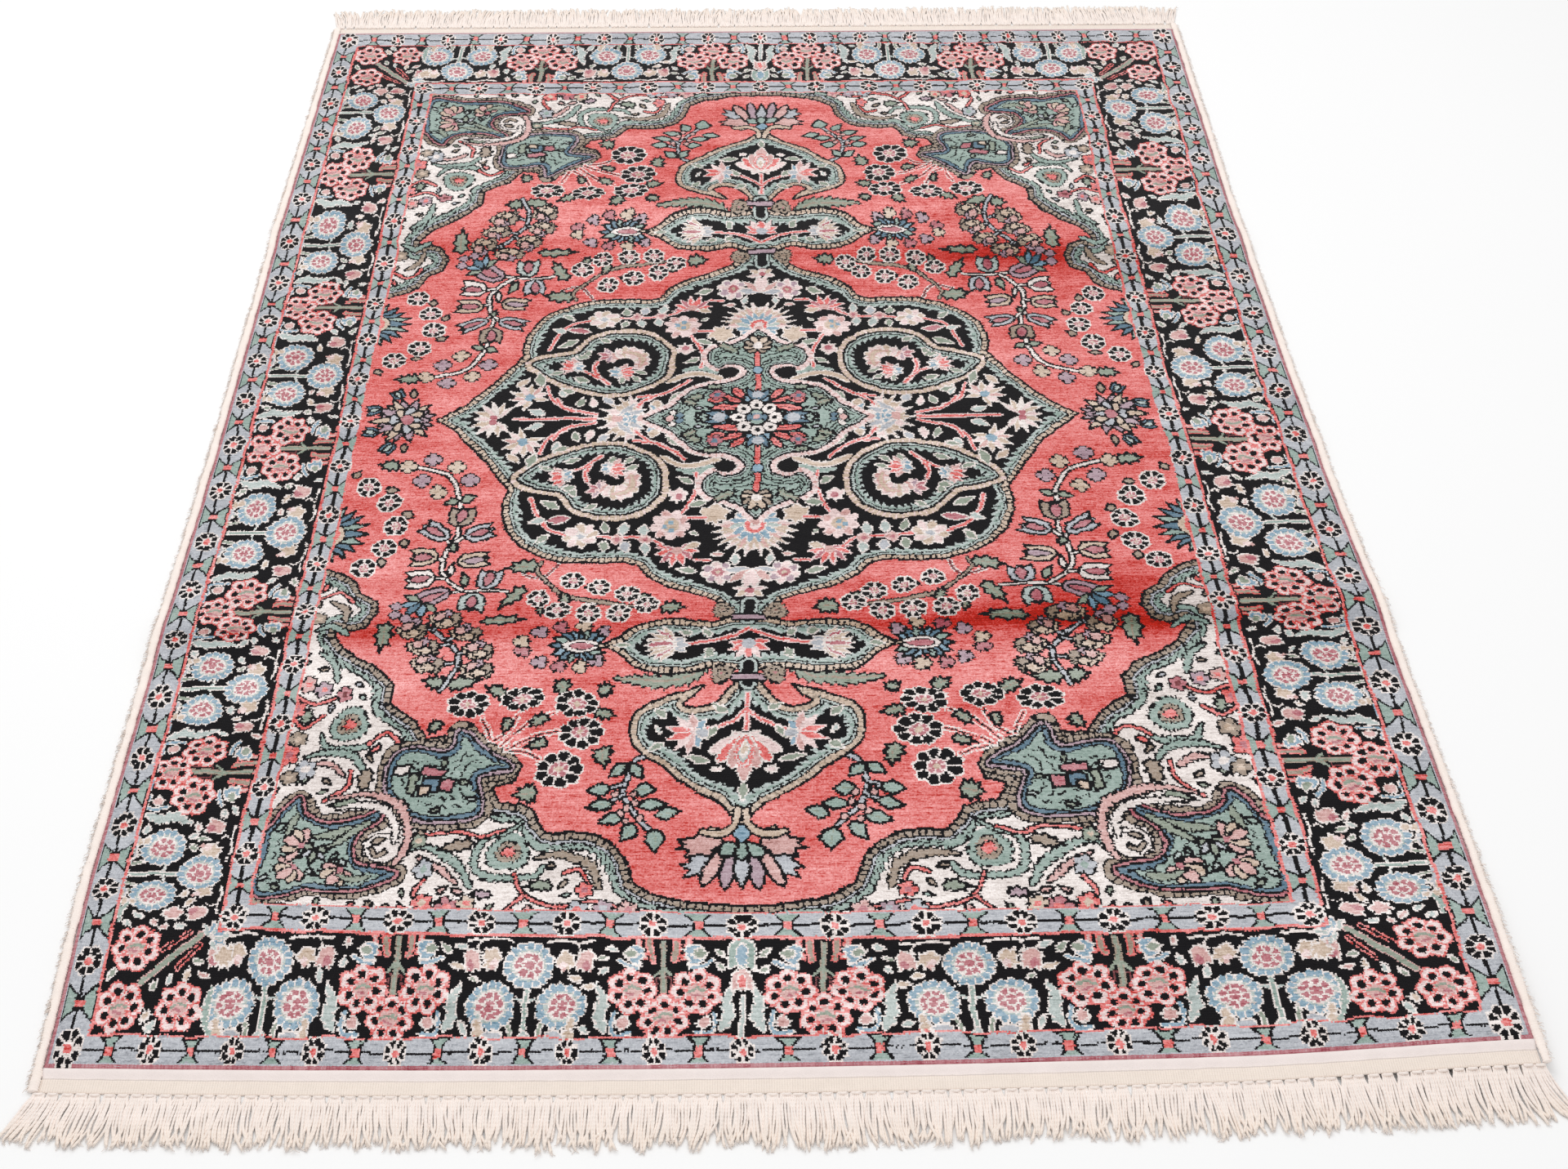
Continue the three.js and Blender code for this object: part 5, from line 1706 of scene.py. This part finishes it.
def make_fringe(key, colours, sizes):
    """One fringe: warp ends gathered into knots along the weave's edge, then falling free."""
    end = ENDS[key]
    rng = np.random.default_rng(70 + end["side"])
    reach = HALF_WIDTH + SELVEDGE_WIDTH
    knots, yarns = sizes.knots, sizes.yarns
    radius = sizes.yarn / MM / 2
    pitch = 2 * (reach - 4) / knots
    steps, sides = 18, 6
    root = HALF_LENGTH + end["kilim"] + SEAM + .6
    run = np.linspace(0, 1, steps)
    bundle = np.repeat(np.arange(knots), yarns)
    place_in = np.tile(np.arange(yarns) - (yarns - 1) / 2, knots) / (yarns / 2)
    total = knots * yarns
    middle = -reach + 4 + (bundle + .5) * pitch + np.repeat(rng.uniform(-1.2, 1.2, knots), yarns)
    uneven = np.repeat(rng.uniform(-4, 4, knots), yarns)
    length = end["fringe"] + STRIP_DEPTH + uneven + rng.uniform(-4.5, 2.5, total)
    width = np.repeat(rng.uniform(.97, 1.14, knots), yarns)
    lean = np.repeat(rng.normal(0, 1.1, knots), yarns)
    throat, belly = .38 * pitch, .6 * pitch
    open_up = throat + (belly - throat) * ease(run / .3)
    side_at = middle[:, None] + place_in[:, None] * width[:, None] * open_up[None]
    side_at = side_at + (drift_of(end, middle) + lean)[:, None] * run[None] ** 1.5
    phase, size = rng.uniform(0, math.tau, (total, 1)), rng.uniform(.2, 1.3, (total, 1))
    shared = np.repeat(rng.uniform(0, math.tau, (knots, 1)), yarns, 0)
    sway = size * np.sin(5.2 * run[None] + phase) + 1.5 * np.sin(3.4 * run[None] + shared)
    side_at = side_at + sway * run[None] ** .8
    side_at = side_at + rng.normal(0, 2., (total, 1)) * np.maximum(run[None] - .62, 0) ** 1.5 * 7
    layer = rng.uniform(0, 1, (total, 1))
    at = end["side"] * (root + run[None] * length[:, None])
    flat = lie(side_at, at, np.zeros_like(side_at))
    floor_z = -shift()[2]
    rise = lift_at(middle, np.full(total, end["side"] * root))[:, None]
    hump = .9 * np.sin(np.pi * np.clip(run / .35, 0, 1))[None]
    arch = FLAT_WEAVE - radius + hump * (1 - place_in[:, None] ** 2)
    rest = radius + layer * 1.7 + .5 * np.maximum(np.sin(5 * run[None] + phase * 1.7), 0)
    settled = ease(run / .5)
    z = arch * (1 - settled)[None] + rest * settled[None] + rise * (1 - run[None]) ** 2 + floor_z
    paths = np.stack([flat[..., 0], flat[..., 1], np.maximum(z, floor_z + radius * .96)], -1)
    taper = (1 - .2 * ease((run - .92) / .08))[None]
    girth = radius * (1 + .1 * np.sin(17 * run[None] + phase)) * taper * rng.uniform(.85, 1.12, (total, 1))
    points, faces, uv = tubes(paths, girth, sides, .92)
    heads = fringe_knots(end, middle[::yarns], pitch, radius, rng)
    points, faces, uv = joined([(points, faces, uv), heads, frayed_tips(paths, girth, rng)])
    name = f"fringe_yarns_{key}"
    fringe = piece(name, place(points), faces, {"yarn": uv})
    outward(fringe)
    fringe.data.materials.append(cotton_finish(f"Fringe cotton {key}", colours, tip=end["fringe"]))
    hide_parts(f"fringe_{key}")
    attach(fringe, "root")
    return fringe


def fringe_knots(end, middles, pitch, radius, rng):
    """The knot at the head of each bundle: a loop of yarn across it."""
    turns = np.linspace(-1, 1, 9)
    root = HALF_LENGTH + end["kilim"] + SEAM + 1.2
    across = middles[:, None] + turns[None] * pitch * .3
    along = end["side"] * (root + 1.1 * (1 - turns[None] ** 2) + .3 * rng.uniform(-1, 1, (len(middles), 1)))
    flat = lie(across, along, np.zeros_like(across) + FLAT_WEAVE - radius * .4)
    flat[..., 2] += 1.3 * (1 - turns[None] ** 2)
    return tubes(flat, np.full(across.shape, radius * 1.05), 6)


def frayed_tips(paths, girth, rng):
    """A few loose fibres at the end of each yarn."""
    count = len(paths)
    tips, before = paths[:, -1], paths[:, -3]
    head = (tips - before) / np.linalg.norm(tips - before, axis=1, keepdims=True)
    each = 2
    run = np.linspace(0, 1, 4)
    start = np.repeat(tips, each, 0)
    head = np.repeat(head, each, 0)
    spread = rng.normal(0, 1., (count * each, 1))
    long = rng.uniform(1.2, 3.6, (count * each, 1))
    side = np.stack([-head[:, 1], head[:, 0], 0 * head[:, 0]], -1)
    onwards = head[:, None] * long[:, None] * run[None, :, None]
    sideways = side[:, None] * (spread * long * .6)[:, None] * (run ** 1.6)[None, :, None]
    lines = start[:, None] - head[:, None] * .8 + onwards + sideways
    lines[..., 2] = np.maximum(lines[..., 2] - run[None] * 1.2, -shift()[2] + .35)
    thin = np.repeat(girth[:, -1], each)[:, None] * (.55 - .33 * run[None])
    return tubes(lines, np.maximum(thin, .22), 4)


def joined(parts):
    """Several sets of points, faces and maps as one."""
    points, faces, maps, start = [], [], [], 0
    for p, groups, uv in parts:
        cut = 0
        for g in groups:
            faces.append(g + start)
            maps.append(uv[cut:cut + g.size])
            cut += g.size
        points.append(p)
        start += len(p)
    return np.concatenate(points), faces, np.concatenate(maps)


# stage

# The camera in the rug's own frame, in millimetres: place, and its right, down and forward directions
CAMERA_AT = (-42.2, -2019.8, 1468.2)
CAMERA_RIGHT = (.99968, -.02461, .00593)
CAMERA_DOWN = (-.01159, -.65328, -.75702)
CAMERA_FORWARD = (.0225, .75671, -.65336)


# Floor, in metres: reach to each side, and how far it lies below the rug
FLOOR_REACH, FLOOR_DROP = 9., .0002
# Lamps aimed at the rug's middle: name, power, size and place, in metres
LAMPS = (("Overhead", 56., 3.4, (-.5, .9, 3.2)), ("Front fill", 13., 3., (.8, -3.2, 2.6)))
SKY_LIGHT = .66


def make_stage(colours):
    """Studio floor, lamps, plain sky and the camera."""
    scene = bpy.context.scene
    data = bpy.data.cameras.new("Camera")
    data.lens, data.sensor_width = 50, 36
    data.clip_start, data.clip_end = .05, 60
    camera = bpy.data.objects.new("Camera", data)
    scene.collection.objects.link(camera)
    axes = Matrix((CAMERA_RIGHT, [-c for c in CAMERA_DOWN], [-c for c in CAMERA_FORWARD])).transposed()
    turned = axes.to_quaternion().to_matrix().to_4x4()
    camera.matrix_world = Matrix.Translation(place(CAMERA_AT)) @ turned
    scene.camera = camera

    corners = np.array([(-1, -1, 0), (1, -1, 0), (1, 1, 0), (-1, 1, 0)]) * FLOOR_REACH + (0, 0, -FLOOR_DROP)
    floor = piece("floor", corners, np.array([[0, 1, 2, 3]]), smooth=False)
    material, n, shader = finish_of("Studio floor", .9, 0.)
    shader.inputs["Specular IOR Level"].default_value = .05
    cloud = n.noise(n.add("ShaderNodeTexCoord").outputs["Object"], 1.5)
    tone = n.mix(cloud, seen(colours.floor), seen([c * .995 for c in colours.floor]))
    n.put(shader.inputs["Base Color"], tone)
    floor.data.materials.append(material)

    for title, energy, size, at in LAMPS:
        lamp = bpy.data.lights.new(title, "AREA")
        lamp.energy, lamp.shape, lamp.size = energy, "SQUARE", size
        light = bpy.data.objects.new(title, lamp)
        scene.collection.objects.link(light)
        light.location = at
        back = Matrix.Translation(at).translation.normalized()
        light.rotation_euler = back.to_track_quat("Z", "Y").to_euler()

    world = bpy.data.worlds.new("Studio")
    world.use_nodes = True
    world.node_tree.nodes["Background"].inputs[0].default_value = (1, 1, 1, 1)
    world.node_tree.nodes["Background"].inputs[1].default_value = SKY_LIGHT
    scene.world = world
    scene.view_settings.view_transform = "Standard"


# operators

class RugOperator(bpy.types.Operator):
    """One step of building the rug."""
    bl_options = {"REGISTER", "UNDO"}

    def sizes(self, context):
        return context.scene.rug_sizes

    def colours(self, context):
        return context.scene.rug_colours


class RUG_OT_pile(RugOperator):
    """Knot the pile with its charted pattern"""
    bl_idname = "rug.pile"
    bl_label = "Knot the Pile"

    def execute(self, context):
        pile = make_pile(self.sizes(context), self.colours(context))
        return {"FINISHED"}


class RUG_OT_sides(RugOperator):
    """Overcast both long sides"""
    bl_idname = "rug.sides"
    bl_label = "Overcast the Sides"

    def execute(self, context):
        for side in (-1, 1):
            make_selvedge(side, self.colours(context), self.sizes(context))
        return {"FINISHED"}


class RUG_OT_ends(RugOperator):
    """Weave the flat ends and knot their fringes"""
    bl_idname = "rug.ends"
    bl_label = "Weave the Ends"

    def execute(self, context):
        for key, end in ENDS.items():
            fringe = make_fringe(key, self.colours(context), self.sizes(context))
            weave = make_kilim(key)
        return {"FINISHED"}


class RUG_OT_stage(RugOperator):
    """Set the floor, the lights and the camera"""
    bl_idname = "rug.stage"
    bl_label = "Set the Stage"

    def execute(self, context):
        make_stage(self.colours(context))
        return {"FINISHED"}


class RUG_PT_panel(bpy.types.Panel):
    """The rug's steps and settings"""
    bl_idname = "RUG_PT_panel"
    bl_label = "Knotted Rug"
    bl_space_type = "VIEW_3D"
    bl_region_type = "UI"
    bl_category = "Rug"

    def draw(self, context):
        for step in STEPS:
            self.layout.operator(step.bl_idname)
        for group in (context.scene.rug_sizes, context.scene.rug_colours):
            box = self.layout.box()
            for key in group.__annotations__:
                box.prop(group, key)


STEPS = (RUG_OT_stage, RUG_OT_pile, RUG_OT_sides, RUG_OT_ends)
CLASSES = (RugColours, RugSizes, *STEPS, RUG_PT_panel)


def register():
    for cls in CLASSES:
        bpy.utils.register_class(cls)
    bpy.types.Scene.rug_sizes = PointerProperty(type=RugSizes)
    bpy.types.Scene.rug_colours = PointerProperty(type=RugColours)


def unregister():
    del bpy.types.Scene.rug_colours
    del bpy.types.Scene.rug_sizes
    for cls in reversed(CLASSES):
        bpy.utils.unregister_class(cls)


def main():
    register()
    bpy.ops.rug.stage()
    bpy.ops.rug.pile()
    bpy.ops.rug.sides()
    bpy.ops.rug.ends()
    bpy.context.view_layer.update()


if __name__ == "__main__":
    main()
